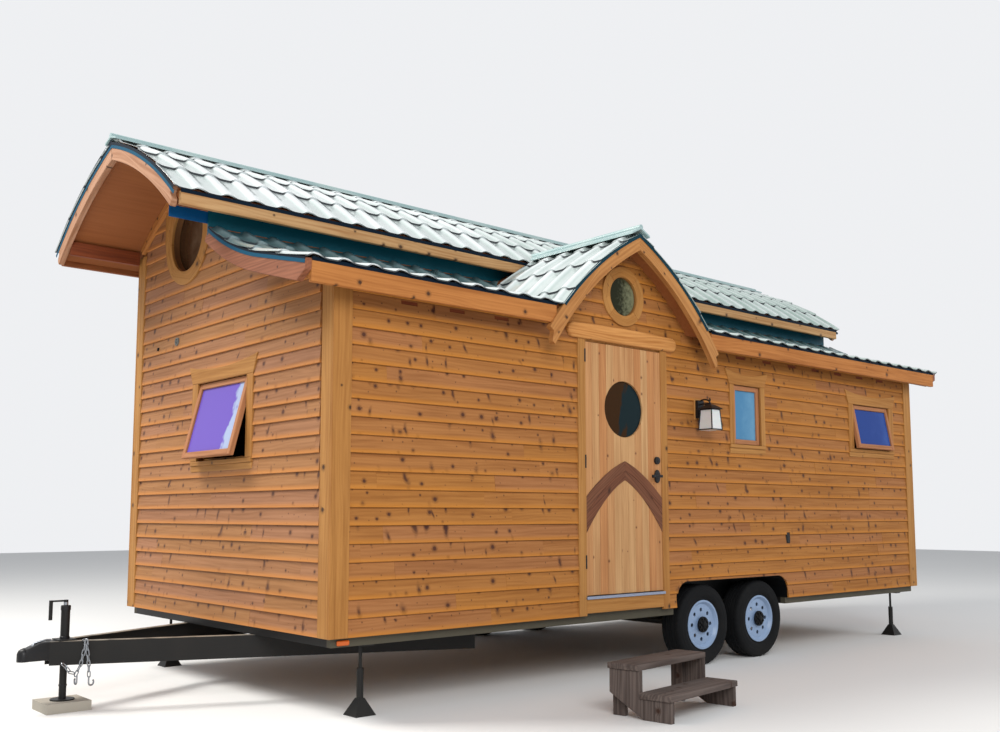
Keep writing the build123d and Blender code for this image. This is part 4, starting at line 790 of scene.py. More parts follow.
def tube(path: Sequence[Vector], radius: float, sides: int = 10, closed: bool = False) -> bmesh.types.BMesh:
    """Sweep a round bar along a path of points.

    Args:
        path: Points of the bar's middle line.
        radius: The bar's radius.
        sides: Steps round the bar.
        closed: Whether the path is a loop.

    Returns:
        The bar, with flat ends if it is open.
    """
    solid = bmesh.new()
    rings = []
    count = len(path)
    side = None
    for index, point in enumerate(path):
        before = path[index - 1] if index or closed else point
        after = path[(index + 1) % count] if index + 1 < count or closed else point
        forward = (after - before).normalized()
        if side is None:
            side = forward.orthogonal().normalized()
        side = (side - forward * side.dot(forward)).normalized()
        other = forward.cross(side)
        turns = [2 * math.pi * step / sides for step in range(sides)]
        rings.append([solid.verts.new(point + (side * math.cos(turn) + other * math.sin(turn)) * radius)
                      for turn in turns])
    pairs = list(zip(rings, rings[1:])) + ([(rings[-1], rings[0])] if closed else [])
    for first, second in pairs:
        for index in range(sides):
            after = (index + 1) % sides
            solid.faces.new((first[index], first[after], second[after], second[index]))
    if not closed:
        solid.faces.new(rings[0][::-1])
        solid.faces.new(rings[-1])
    bmesh.ops.recalc_face_normals(solid, faces=solid.faces)
    return solid


def axes(origin: Sequence[float], x_axis: Sequence[float], y_axis: Sequence[float]) -> Matrix:
    """Placement whose own X and Y point along two given directions.

    Args:
        origin: Where its own origin lies.
        x_axis: Direction of its own X.
        y_axis: Direction of its own Y, made square to X.

    Returns:
        The placement.
    """
    x = Vector(x_axis).normalized()
    z = x.cross(Vector(y_axis)).normalized()
    y = z.cross(x)
    return Matrix.Translation(Vector(origin)) @ Matrix((x, y, z)).transposed().to_4x4()


def moved(x: float, y: float, z: float) -> Matrix:
    """Placement that only moves."""
    return Matrix.Translation((x, y, z))


def across_house(x: float) -> Matrix:
    """Placement that draws across the house, with thickness towards the rear."""
    return axes((x, 0, 0), (0, 1, 0), (0, 0, 1))


def along_house(x: float, y: float, z: float = 0.0) -> Matrix:
    """Placement that draws along the house, with thickness out of the door side."""
    return axes((x, y, z), (1, 0, 0), (0, 0, 1))


def stand(name: str, data: bpy.types.ID) -> bpy.types.Object:
    """Make an object of a mesh, lamp or camera and put it in the scene.

    Args:
        name: The object's name.
        data: Its mesh, lamp or camera.

    Returns:
        The object.
    """
    made = bpy.data.objects.new(name, data)
    bpy.context.scene.collection.objects.link(made)
    return made


class Piece:
    """Solids that are gathered into one mesh, each with its own grain and tone."""

    def __init__(self, name: str, finish: Finish, seed: int = 1, scatter: float = 90.0) -> None:
        """Start an empty piece.

        Args:
            name: The piece's name.
            finish: The finish that it wears.
            seed: Seed of its boards' tones.
            scatter: How far apart their grain may lie.
        """
        self.name = name
        self.finish = finish
        self.scatter = scatter
        self.dice = random.Random(seed)
        self.vertices: list[Vector] = []
        self.faces: list[tuple[int, ...]] = []
        self.grain: list[Vector] = []
        self.tone: list[float] = []

    def add(self, solid: bmesh.types.BMesh, place: Matrix | None = None,
            grain: Grain | None = None) -> "Piece":
        """Add a solid.

        Args:
            solid: The solid in its own coordinates; it is used up.
            place: Where it goes.
            grain: Turns its own X and Y into lengths along and across the grain.

        Returns:
            This piece.
        """
        place = place or Matrix.Identity(4)
        first = len(self.vertices)
        tone = self.dice.random()
        apart = Vector([self.dice.uniform(0, self.scatter) for _ in range(3)])
        # Tile sheets carry their painted light and shade in a layer, which goes into the tone attribute.
        marks = solid.verts.layers.float.get("painted_light_mark")
        solid.verts.index_update()
        for vertex in solid.verts:
            self.vertices.append(place @ vertex.co)
            x, y = grain(vertex.co.x, vertex.co.y) if grain else (vertex.co.x, vertex.co.y)
            self.grain.append(Vector((x, y, vertex.co.z)) + apart)
            self.tone.append(vertex[marks] if marks else tone)
        flip = place.to_3x3().determinant() < 0
        for face in solid.faces:
            corners = [first + v.index for v in face.verts]
            self.faces.append(tuple(corners[::-1] if flip else corners))
        solid.free()
        return self

    def board(self, start: Sequence[float], end: Sequence[float], run: Lengthways,
              chamfer: float = 0.003) -> "Piece":
        """Add a straight board between two corners, with its grain along an axis.

        Args:
            start: One corner.
            end: The corner opposite.
            run: Axis of the grain.
            chamfer: How much is taken off each edge.

        Returns:
            This piece.
        """
        low = Vector([min(a, b) for a, b in zip(start, end)])
        size = Vector([abs(a - b) for a, b in zip(start, end)])
        order = {Lengthways.X: (0, 1, 2), Lengthways.Y: (1, 2, 0), Lengthways.Z: (2, 0, 1)}[run]
        lengths = [size[i] for i in order]
        directions = [Vector([1.0 if i == axis else 0.0 for i in range(3)]) for axis in order]
        if lengths[2] > lengths[1]:
            low = low + directions[1] * lengths[1]
            directions[1] = directions[2]
            lengths[1:] = lengths[2], lengths[1]
        place = axes(low, directions[0], directions[1])
        return self.add(prism(rectangle(lengths[0], lengths[1]), lengths[2], chamfer), place)

    def build(self, body: str, slot: str, replaces: Sequence[str] = (),
              smooth: float = 32.0) -> bpy.types.Object:
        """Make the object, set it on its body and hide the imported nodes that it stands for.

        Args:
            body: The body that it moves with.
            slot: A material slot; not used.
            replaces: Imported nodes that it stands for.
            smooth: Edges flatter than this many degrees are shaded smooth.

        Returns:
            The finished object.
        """
        mesh = bpy.data.meshes.new(self.name)
        mesh.from_pydata([tuple(v) for v in self.vertices], [], self.faces)
        grain = mesh.attributes.new("grain", "FLOAT_VECTOR", "POINT")
        grain.data.foreach_set("vector", [c for v in self.grain for c in v])
        tone = mesh.attributes.new("tone", "FLOAT", "POINT")
        tone.data.foreach_set("value", self.tone)
        return settle(stand(self.name, mesh), self.finish, body, replaces, smooth)


def settle(made: bpy.types.Object, finish: Finish, body: str, replaces: Sequence[str] = (),
           smooth: float = 32.0) -> bpy.types.Object:
    """Shade, dress and mount a finished mesh object, and report it.

    Args:
        made: The object.
        finish: The finish that it wears.
        body: The body that it moves with.
        replaces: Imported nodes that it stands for.
        smooth: Edges flatter than this many degrees are shaded smooth.

    Returns:
        The object.
    """
    mesh = made.data
    mesh.validate()
    mesh.polygons.foreach_set("use_smooth", [True] * len(mesh.polygons))
    mesh.set_sharp_from_angle(angle=math.radians(smooth))
    mesh.materials.clear()
    mesh.materials.append(finish.material())
    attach(made, body)
    if replaces:
        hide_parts(*replaces)
    log.info("%s: %d faces on %s", made.name, len(mesh.polygons), body)
    return made


def dress(finish: Finish, *nodes: str) -> None:
    """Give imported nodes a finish.

    Args:
        finish: The finish.
        nodes: The nodes' names.
    """
    for name in nodes:
        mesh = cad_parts[name].data
        mesh.materials.clear()
        mesh.materials.append(finish.material())


@dataclass(frozen=True)
class Plan:
    """Outside faces of the four walls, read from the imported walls."""

    hitch: float
    rear: float
    door: float
    far: float
    foot: float

    @classmethod
    def read(cls) -> "Plan":
        """Read the plan from the frame."""
        low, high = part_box("front_wall")
        return cls(low.x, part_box("rear_wall")[1].x, low.y, high.y, low.z)

    def along(self, distance: float) -> float:
        """X this far behind the hitch-end wall."""
        return self.hitch + distance

    def across(self, distance: float) -> float:
        """Y this far inside the door-side wall."""
        return self.door + distance

    @property
    def length(self) -> float:
        """Length of the house."""
        return self.rear - self.hitch

    @property
    def width(self) -> float:
        """Width of the house."""
        return self.far - self.door


plan = Plan.read()


@dataclass(frozen=True)
class Arch:
    """A pointed arch of two mirrored circular limbs, set by the top line of its boards."""

    middle: float
    apex: float
    radius: float
    slope: float

    @property
    def shift(self) -> float:
        """How far each limb's centre lies beyond the middle."""
        return self.radius * math.sin(math.radians(self.slope))

    @property
    def centre(self) -> float:
        """Height of the limbs' centres."""
        return self.apex - self.radius * math.cos(math.radians(self.slope))

    def at(self, distance: float, lift: float, side: int) -> Point:
        """Point this far down a limb from the apex, lifted square off it.

        Args:
            distance: Distance down the limb.
            lift: Height above the line.
            side: Which limb, 1 or -1.

        Returns:
            The point.
        """
        turn = math.radians(self.slope) + distance / self.radius
        run = (self.radius + lift) * math.sin(turn) - self.shift
        return self.middle + side * run, self.centre + (self.radius + lift) * math.cos(turn)

    def down(self, run: float) -> float:
        """Distance down a limb to a run from the middle."""
        return self.radius * (math.asin((run + self.shift) / self.radius) - math.radians(self.slope))

    def height(self, run: float, lift: float = 0.0) -> float:
        """Height of the line at a run to either side of the middle."""
        return self.centre + math.sqrt((self.radius + lift) ** 2 - (abs(run) + self.shift) ** 2)

    def run_at(self, height: float, lift: float = 0.0) -> float:
        """Run at which the line comes down to a height."""
        return math.sqrt((self.radius + lift) ** 2 - (height - self.centre) ** 2) - self.shift

    def band(self, top: float, bottom: float, end: float, side: int, notch: float = 0.0,
             count: int = 24) -> list[Point]:
        """Outline of one limb's band between two lifts.

        Args:
            top: Lift of its upper edge.
            bottom: Lift of its lower edge.
            end: Distance down the limb to its foot.
            side: Which limb.
            notch: How far the upper half of its foot is cut back; none leaves it square.
            count: Steps along the limb.

        Returns:
            The outline, anticlockwise.
        """
        outer = [self.at((end - notch) * share, top, side) for share in shares(count)]
        inner = [self.at(end * share, bottom, side) for share in shares(count)]
        inner[0] = (self.middle, self.height(0.0, bottom))
        outer[0] = (self.middle, self.height(0.0, top))
        depth = top - bottom
        heel = [(end - notch, top - depth * 0.42), (end - notch * 0.72, top - depth * 0.50),
                (end - notch * 0.30, top - depth * 0.56), (end, top - depth * 0.74)] if notch else []
        outline = outer + [self.at(place, lift, side) for place, lift in heel] + inner[::-1]
        return outline if side < 0 else outline[::-1]

    def grain(self, side: int) -> Grain:
        """Lengths along and across a limb, for a point of its band.

        Args:
            side: Which limb.

        Returns:
            What turns a point into its grain.
        """
        def follow(x: float, y: float) -> Point:
            """Turn a point of the outline into its arc length and radius."""
            run = side * (x - self.middle) + self.shift
            return math.atan2(run, y - self.centre) * self.radius, math.hypot(run, y - self.centre)
        return follow


@dataclass(frozen=True)
class Flare:
    """Line of the lower roof: straight at the eave, then curving up."""

    eave: float
    height: float
    slope: float
    straight: float
    radius: float

    @property
    def bend(self) -> float:
        """Distance up the line to the end of its straight part."""
        return self.straight / math.cos(math.radians(self.slope))

    def at(self, distance: float, lift: float) -> Point:
        """Point this far up the line from the eave, lifted square off it.

        Args:
            distance: Distance up the line.
            lift: Height above the line.

        Returns:
            The point.
        """
        lean = math.radians(self.slope)
        if distance <= self.bend:
            return (self.eave + distance * math.cos(lean) - lift * math.sin(lean),
                    self.height + distance * math.sin(lean) + lift * math.cos(lean))
        turn = lean + (distance - self.bend) / self.radius
        centre_y = self.eave + self.straight - self.radius * math.sin(lean)
        centre_z = self.height + self.straight * math.tan(lean) + self.radius * math.cos(lean)
        reach = self.radius - lift
        return centre_y + reach * math.sin(turn), centre_z - reach * math.cos(turn)

    def up(self, y: float, lift: float = 0.0) -> float:
        """Distance up the line to a Y."""
        return bisect(-0.2, 3.0, lambda distance: self.at(distance, lift)[0] >= y)

    def z(self, y: float, lift: float = 0.0) -> float:
        """Height of the line at a Y."""
        return self.at(self.up(y, lift), lift)[1]


# Lines that the roofs share, and how far their edges reach past the walls.
LIP = 0.014
EAR = 0.026
EAVE = 0.19
CLERESTORY = 1.144
BAND = 1.124
upper = Arch(plan.across(2.115), 4.036, 3.25, 16.8)
dormer = Arch(plan.along(2.67), 3.455, 2.635, 26.4)
flare = Flare(plan.across(-EAVE), 2.78, 14.0, 0.58, 2.4)
UPPER_RUN = plan.far - upper.middle + EAVE
DORMER_RUN = 0.971
DORMER_FRONT = 0.202
ARCH_FRONT = 0.657
SKIRT_FRONT = 0.33
REAR_EDGE = 0.275


@dataclass(frozen=True)
class Wall:
    """One outside wall: its own X runs along it, its Y up, and its Z outwards."""

    origin: tuple[float, float, float]
    direction: tuple[float, float, float]
    start: float
    sign: int

    def place(self, x: float = 0.0, y: float = 0.0, out: float = 0.0) -> Matrix:
        """Placement at a point of the wall."""
        return axes(self.origin, self.direction, (0, 0, 1)) @ moved(x, y, out)

    def x(self, distance: float) -> float:
        """The wall's own X at a distance along or across the house."""
        return self.start + self.sign * distance


DOOR_SIDE = Wall((plan.hitch, plan.door, 0.0), (1, 0, 0), 0.0, 1)
FAR_SIDE = Wall((plan.rear, plan.far, 0.0), (-1, 0, 0), plan.length, -1)
HITCH_END = Wall((plan.hitch, plan.far, 0.0), (0, -1, 0), plan.width, -1)
REAR_END = Wall((plan.rear, plan.door, 0.0), (0, 1, 0), 0.0, 1)


@dataclass(frozen=True)
class Opening:
    """A rectangular window: its wall, the middle of its opening, its size, its swing and its casing."""

    name: str
    wall: Wall
    distance: float
    height: float
    wide: float
    tall: float
    tilt: float = 0.0
    casing: float = 0.088
    head: float = 0.092
    horn: float = 0.138
    flare: float = 0.058
    apron: float = 0.080

    @property
    def x(self) -> float:
        """Middle of the opening in the wall's own X."""
        return self.wall.x(self.distance)

    def head_board(self) -> list[Point]:
        """Outline of the head casing, its ends raised into horns and its top edge hollow.

        Returns:
            The outline.
        """
        half = self.wide / 2 + self.casing
        low = self.height + self.tall / 2
        reach = half + self.flare
        rise = self.horn - self.head
        places = [1 - index / 6 for index in range(13)]
        hollow = [(self.x + reach * s, low + self.head + rise * s * s) for s in places]
        return [(self.x - half, low), (self.x + half, low), *hollow]

    def outlines(self) -> list[list[Point]]:
        """Outlines of everything that the siding stops against.

        Returns:
            The outlines.
        """
        half = self.wide / 2 + self.casing
        low = self.height - self.tall / 2 - self.apron
        return [rectangle(2 * half, self.tall + self.apron, self.x - half, low), self.head_board()]


WINDOWS = (
    Opening("narrow", DOOR_SIDE, 4.308, 2.138, 0.404, 0.530, casing=0.062),
    Opening("rear_awning", DOOR_SIDE, 6.460, 2.142, 0.706, 0.452, 10.0),
    Opening("hitch_end", HITCH_END, 1.497, 1.946, 0.776, 0.588, 14.0, 0.092),
    Opening("rear_end", REAR_END, 1.497, 1.946, 0.776, 0.588, casing=0.092),
    Opening("far_front", FAR_SIDE, 1.6, 2.142, 0.706, 0.452),
    Opening("far_rear", FAR_SIDE, 5.9, 2.142, 0.706, 0.452),
)


@dataclass(frozen=True)
class Porthole:
    """A round window with its wall, middle, radius and trim."""

    name: str
    wall: Wall
    distance: float
    height: float
    radius: float
    trim: float
    ears: bool = False
    depth: float = 0.05


PORTHOLES = (
    Porthole("loft", HITCH_END, 2.165, 3.449, 0.286, 0.104, True),
    Porthole("rear_loft", REAR_END, 2.165, 3.449, 0.286, 0.104, True),
    Porthole("dormer", DOOR_SIDE, 2.67, 2.988, 0.16, 0.08, depth=0.012),
)


@dataclass(frozen=True)
class Doorway:
    """The doorway's own sizes along the door-side wall."""

    middle: float = 2.665
    leaf: float = 0.890
    gap: float = 0.006
    reveal: float = 0.010
    casing: float = 0.080
    casing_thick: float = 0.024
    sill_top: float = 0.623
    head: float = 2.586
    lintel: float = 0.118
    lintel_thick: float = 0.042
    lintel_reach: float = 0.105
    crown: float = 0.012
    sill_board: float = 0.105

    @property
    def casing_inner(self) -> float:
        """Half the width between the casing boards."""
        return self.leaf / 2 + self.gap - self.reveal

    @property
    def casing_outer(self) -> float:
        """Half the width over the casing boards."""
        return self.casing_inner + self.casing + self.reveal

    def lintel_outline(self) -> list[Point]:
        """Outline of the lintel: a crowned top and round ends.

        Returns:
            The outline.
        """
        rise = self.lintel / 2
        shoulder = self.casing_outer + self.lintel_reach - rise
        right = arc(rise, -math.pi / 2, math.pi / 2, 10, shoulder)
        top = [(shoulder * share, rise + self.crown * (1 - share ** 2)) for share in (0.6, 0.2, -0.2, -0.6)]
        middle = self.head + self.reveal + rise
        return [(self.middle + x, middle + y) for x, y in right + top + [(-x, -y) for x, y in right]]


DOORWAY = Doorway()


@dataclass
class Siding:
    """Lap siding on the four walls, cut round every trim board."""

    course: float = 0.1143
    butt: float = 0.0172
    tip: float = 0.0045
    gap: float = 0.0005
    corner: float = 0.118
    end_corner: float = 0.115
    soffit: float = 0.06
    rafter: float = 0.124
    round: float = 0.0026
    least: float = 0.05
    lean: tuple[float, float] = (-0.0012, 0.0008)
    shortest: float = 0.9
    longest: float = 3.4
    arch_ends: tuple[float, float] = (3.28, 4.88)
    arch_top: float = 0.706
    arch_corner: float = 0.15
    under: float = 0.4
    dormer_top: float = 3.42
    gable_top: float = 3.95

    def boards(self, name: str, wall: Wall, start: float, end: float, top: float,
               seed: int) -> bpy.types.Object:
        """Lay whole courses of boards from one end of a wall to the other.

        Args:
            name: The new object's name.
            wall: The wall that they lie on.
            start: Where they start in the wall's own X.
            end: Where they end.
            top: Height that the last course passes.
            seed: Seed of the butt joints' places.

        Returns:
            The boards before they are cut to the wall.
        """
        dice = random.Random(seed)
        place = wall.place()
        vertices: list[Vector] = []
        faces: list[tuple[int, ...]] = []
        tones: list[float] = []
        rise = self.course - self.gap
        profile = [(0.0, 0.0), (0.0, self.butt - self.round), (self.round, self.butt), (rise, self.tip),
                   (rise, 0.0)]
        count = len(profile)
        height = plan.foot
        while height < top:
            joint = start - dice.uniform(0.0, self.longest - self.shortest)
            while joint < end:
                after = joint + dice.uniform(self.shortest, self.longest)
                left, right = max(joint, start), min(after, end)
                joint = after
                if right - left <= self.least:
                    continue
                tones += [dice.random()] * (count + 2)
                lean = dice.uniform(*self.lean)
                near = list(range(len(vertices), len(vertices) + count))
                far = [number + count for number in near]
                for x in (left + self.gap / 2, right - self.gap / 2):
                    for y, out in profile:
                        lifted = max(out + lean, 0.0) if out else 0.0
                        vertices.append(place @ Vector((x, height + y, lifted)))
                faces += [tuple(near), tuple(far[::-1])]
                for index in range(count):
                    turn = (index + 1) % count
                    faces.append((near[turn], near[index], far[index], far[turn]))
            height += self.course
        mesh = bpy.data.meshes.new(name)
        mesh.from_pydata([tuple(v) for v in vertices], [], faces)
        tone = mesh.attributes.new("tone", "FLOAT", "FACE")
        tone.data.foreach_set("value", tones)
        return stand(name, mesh)

    def cut(self, made: bpy.types.Object, wall: Wall, outlines: Iterable[Sequence[Point]],
            operation: str = "DIFFERENCE") -> None:
        """Cut or trim an object by outlines on its wall.

        Args:
            made: The object.
            wall: The wall.
            outlines: The outlines, either way round.
            operation: Whether they are cut away or kept.
        """
        for outline in outlines:
            area = sum(a[0] * b[1] - b[0] * a[1] for a, b in zip(outline, [*outline[1:], outline[0]]))
            solid = prism(list(outline) if area > 0 else list(outline)[::-1], 0.2)
            solid.transform(wall.place(out=-0.1))
            mesh = bpy.data.meshes.new("cutter")
            solid.to_mesh(mesh)
            solid.free()
            cutter = stand("cutter", mesh)
            modifier = made.modifiers.new("cut", "BOOLEAN")
            modifier.operation = operation
            modifier.solver = "EXACT"
            modifier.object = cutter
            graph = bpy.context.evaluated_depsgraph_get()
            cut = bpy.data.meshes.new_from_object(made.evaluated_get(graph))
            made.modifiers.clear()
            old = made.data
            made.data = cut
            bpy.data.meshes.remove(old)
            bpy.data.objects.remove(cutter)
            bpy.data.meshes.remove(mesh)

    def gable(self, wall: Wall) -> list[Point]:
        """Outline of an end wall's siding under the two roofs.

        Args:
            wall: The end wall.

        Returns:
            The outline.
        """
        skirt = [BAND * share for share in shares(14) if BAND * share >= self.end_corner]
        start = plan.across(CLERESTORY) - upper.middle
        run = plan.far - upper.middle - self.end_corner - start
        points = [(self.end_corner, self.under), *[(a, flare.z(plan.across(a), -self.soffit)) for a in skirt]]
        for share in shares(30):
            place = start + run * share
            points.append((upper.middle - plan.door + place, upper.height(place, -self.rafter)))
        points.append((plan.width - self.end_corner, self.under))
        return [(wall.x(a), z) for a, z in points]

    def trims(self, wall: Wall) -> list[list[Point]]:
        """Outlines of the windows' trim on a wall.

        Args:
            wall: The wall.

        Returns:
            The outlines.
        """
        found = [outline for window in WINDOWS if window.wall is wall for outline in window.outlines()]
        for port in PORTHOLES:
            if port.wall is wall:
                x = wall.x(port.distance)
                found.append(circle(port.radius + port.trim, x, port.height, 64))
                if port.ears:
                    found += [ear_outline(port, side) for side in (1, -1)]
        return found

    def wheel_arch(self, wall: Wall) -> list[Point]:
        """Outline of the arch over the wheels.

        Args:
            wall: The long wall.

        Returns:
            The outline.
        """
        ends = sorted(wall.x(end) for end in self.arch_ends)
        radius, level = self.arch_corner, self.arch_top - self.arch_corner
        right = arc(radius, 0.0, math.pi / 2, 8, ends[1] - radius, level)
        left = arc(radius, math.pi / 2, math.pi, 8, ends[0] + radius, level)
        return [(ends[0], self.under), (ends[1], self.under), *right, *left]

    def door_side_top(self) -> list[Point]:
        """Outline of the door side's siding, with the gable under the dormer.

        Returns:
            The outline.
        """
        eave = flare.z(plan.door, -self.soffit)
        reach = dormer.run_at(eave, -self.soffit)
        runs = [reach - 2 * reach * share for share in shares(40)]
        hump = [(dormer.middle - plan.hitch + run, dormer.height(run, -self.soffit)) for run in runs]
        low, high = self.corner, plan.length - self.corner
        return [(low, self.under), (high, self.under), (high, eave), *hump, (low, eave)]

    def door_side_cuts(self) -> list[list[Point]]:
        """Outlines cut from the door side besides its windows.

        Returns:
            The outlines.
        """
        half = DOORWAY.casing_outer - DOORWAY.reveal
        top = DOORWAY.head + 0.02
        doorway = rectangle(2 * half, top - self.under, DOORWAY.middle - half, self.under)
        return [doorway, DOORWAY.lintel_outline(), self.wheel_arch(DOOR_SIDE), Lantern().board_outline(),
                *EaveVents().outlines(), SmallFittings().inlet_outline()]

    def build(self) -> None:
        """Lay, trim and dress the siding of each wall."""
        far_top = upper.height(plan.far - upper.middle, -self.soffit)
        jobs = (
            ("siding_door_side", DOOR_SIDE, plan.length, self.dormer_top, CEDAR, 11),
            ("siding_far_side", FAR_SIDE, plan.length, far_top, CEDAR, 12),
            ("siding_hitch_end", HITCH_END, plan.width, self.gable_top, CEDAR_ENDS, 13),
            ("siding_rear_end", REAR_END, plan.width, self.gable_top, CEDAR_ENDS, 14),
        )
        for name, wall, length, top, finish, seed in jobs:
            corner = self.corner if wall in (DOOR_SIDE, FAR_SIDE) else self.end_corner
            made = self.boards(name, wall, corner, length - corner, top, seed)
            if wall is DOOR_SIDE:
                self.cut(made, wall, [self.door_side_top()], "INTERSECT")
                self.cut(made, wall, self.door_side_cuts())
            elif wall is FAR_SIDE:
                self.cut(made, wall, [rectangle(length, far_top - 0.3, 0.0, 0.3)], "INTERSECT")
                self.cut(made, wall, [self.wheel_arch(wall)])
            else:
                self.cut(made, wall, [self.gable(wall)], "INTERSECT")
            self.cut(made, wall, self.trims(wall))
            settle(made, finish, "house", smooth=20.0)
        dress(WALL_BOARDS, "front_wall", "rear_wall", "door_side_wall_front", "door_side_wall_rear",
              "dormer_gable_wall", "far_side_wall", "clerestory_wall")


def ear_outline(port: Porthole, side: int) -> list[Point]:
    """Outline of the upright board beside a loft window, from its middle up to the roof.

    Args:
        port: The loft window.
        side: Which side of it, 1 or -1.

    Returns:
        The outline.
    """
    outer = port.radius + port.trim
    edge = outer + EAR
    x = port.wall.x(port.distance)
    run = port.wall.sign * side * edge + port.distance - (upper.middle - plan.door)
    top = upper.height(run, -0.125)
    ring = arc(outer, 0.0, math.pi / 2, 8, 0.0, port.height)
    inner = [(x + side * a, b) for a, b in ring if b < top - 0.004]
    return [(x + side * edge, port.height), *inner, (inner[-1][0], top), (x + side * edge, top)][::side]


@dataclass
class Tiles:
    """Pressed metal tile sheets on the three roofs."""

    pitch: float = 0.212
    exposure: float = 0.372
    wave: float = 0.023
    step: float = 0.012
    gauge: float = 0.0012
    base: float = 0.0025
    crown_lift: float = 0.038
    overhang: float = 0.012
    sink: float = 0.004
    samples: tuple[float, ...] = (0.0, 0.05, 0.1, 0.16, 0.23, 0.31, 0.4, 0.5, 0.68, 0.8, 0.84, 0.88, 0.92,
                                  0.96)

    def crown(self, share: float) -> float:
        """Height of the wave at a share of its pitch: a slow fall into a broad pan, and a steep rise.

        Args:
            share: Place across the pitch, from 0 to 1.

        Returns:
            The height, from 0 to 1.
        """
        if share < 0.10:
            return 1.0 - 0.06 * (share / 0.10) ** 2
        if share < 0.50:
            return 0.91 * (0.5 + 0.5 * math.cos(math.pi * (share - 0.10) / 0.40)) ** 1.15 + 0.03
        if share < 0.80:
            return 0.03 - 0.02 * math.sin(math.pi * (share - 0.50) / 0.30)
        return 0.03 + 0.97 * (0.5 - 0.5 * math.cos(math.pi * (share - 0.80) / 0.20))

    def rows(self, eave: float) -> list[tuple[float, float]]:
        """Distances down from the top with the lift of the course there, from the ridge to the eave.

        Args:
            eave: Distance from the top to the eave.

        Returns:
            The distances with their lifts.
        """
        marks: list[tuple[float, float]] = []
        low = eave
        while low > 0.0:
            whole = low - max(low - self.exposure, 0.0) > 0.05
            steps = (0.9995, 0.994, 0.975, 0.6, 0.3, 0.045, 0.03, 0.001) if whole else (0.999, 0.02)
            for share in steps:
                lift = self.step * (share ** 1.6 if share < 0.999 else 0.2)
                marks.append((low - self.exposure * (1 - share), lift))
            low -= self.exposure
        return [m for m in reversed(marks) if m[0] > -0.001] or [(0.0, 0.0)]

    def painted_light_mark(self, distance: float, crown: float, eave: float) -> float:
        """Mark of painted light: up to one for the painted shadow under a course's front edge, and up to a
        half for the painted glare on the crowns.
        """
        share = 1.0 - ((eave - distance) % self.exposure) / self.exposure
        return 1.0 - 0.32 * crown if share > 0.99 or share < 0.031 else 0.45 * crown

    def sheet(self, name: str, place: Callable[[float, float, float], Vector], ends: tuple[float, float],
              eave: float, limits: Callable[[float], tuple[float, float]],
              flip: bool = False) -> bmesh.types.BMesh:
        """Make one slope of tiles.

        Args:
            name: Name used in the report.
            place: Turns a length along the roof, a distance down it and a lift into a point.
            ends: Lengths along the roof where the slope starts and ends.
            eave: Distance from the top to the eave.
            limits: Distances down between which the slope shows, at a length along the roof.
            flip: Whether the slow side of the wave faces the other way.

        Returns:
            The slope as an open sheet.
        """
        solid = bmesh.new()
        layer = solid.verts.layers.float.new("painted_light_mark")
        rows = self.rows(eave)
        modules = range(math.floor(ends[0] / self.pitch), math.ceil(ends[1] / self.pitch) + 1)
        inside = [(module + share) * self.pitch for module in modules for share in self.samples]
        inside = [length for length in inside if ends[0] + 0.002 < length < ends[1] - 0.002]
        columns = []
        for length in (ends[0], *inside, ends[1]):
            share = (length / self.pitch) % 1.0
            crown = self.crown(1 - share if flip else share)
            top, low = limits(length)
            column = []
            for distance, lift in rows:
                held = min(max(distance, top), low)
                height = self.base + self.wave * crown + lift
                corner = solid.verts.new(place(length, held, height))
                # Each point carries its painted glare and painted shadow.
                corner[layer] = self.painted_light_mark(distance, crown, eave)
                column.append(corner)
            columns.append(column)
        for left, right in zip(columns, columns[1:]):
            for index in range(len(rows) - 1):
                corners = (left[index], left[index + 1], right[index + 1], right[index])
                solid.faces.new(corners)
        flat = [f for f in solid.faces if f.calc_area() < 1e-7]
        bmesh.ops.delete(solid, geom=flat, context="FACES")
        bmesh.ops.remove_doubles(solid, verts=solid.verts, dist=0.00005)
        loose = [v for v in solid.verts if not v.link_faces]
        bmesh.ops.delete(solid, geom=loose, context="VERTS")
        log.info("%s slope: %d tiles wide", name, round((ends[1] - ends[0]) / self.pitch))
        return solid

    def finish(self, name: str, slopes: Sequence[bmesh.types.BMesh], node: str,
               paint: TilePaint = TILE_PAINT) -> None:
        """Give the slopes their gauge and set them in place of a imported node.

        Args:
            name: The piece's name.
            slopes: The slopes.
            node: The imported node.
            paint: The tiles' paint.
        """
        piece = Piece(name, paint)
        for slope in slopes:
            bmesh.ops.recalc_face_normals(slope, faces=slope.faces)
            up = sum(f.normal.z for f in slope.faces)
            if up < 0:
                bmesh.ops.reverse_faces(slope, faces=slope.faces)
            piece.add(slope)
        made = piece.build("house", "roof_metal", [node], 50.0)
        gauge = made.modifiers.new("gauge", "SOLIDIFY")
        gauge.thickness = self.gauge
        gauge.offset = -1.0

    def upper_roof(self) -> None:
        """Tiles on both slopes of the upper roof."""
        reach = math.asin((UPPER_RUN + LIP + upper.shift) / (upper.radius + self.crown_lift))
        eave = upper.radius * (reach - math.radians(upper.slope))
        ends = (plan.along(-ARCH_FRONT) - self.overhang, plan.along(plan.length + REAR_EDGE) + self.overhang)
        slopes = []
        for side in (-1, 1):
            def place(length: float, distance: float, lift: float, side: int = side) -> Vector:
                """Point of the slope."""
                return Vector((length, *upper.at(distance, lift, side)))
            slopes.append(self.sheet("upper_roof", place, ends, eave, lambda _: (0.0, eave), side > 0))
        self.finish("upper_roof_tiles", slopes, "upper_roof_metal")

    def skirt_roof(self) -> None:
        """Tiles on the lower roof, in front of the dormer and behind it."""
        top = flare.up(plan.across(BAND) - 0.002)
        eave = top + LIP

        def place(length: float, distance: float, lift: float) -> Vector:
            """Point of the slope."""
            return Vector((length, *flare.at(top - distance, lift)))

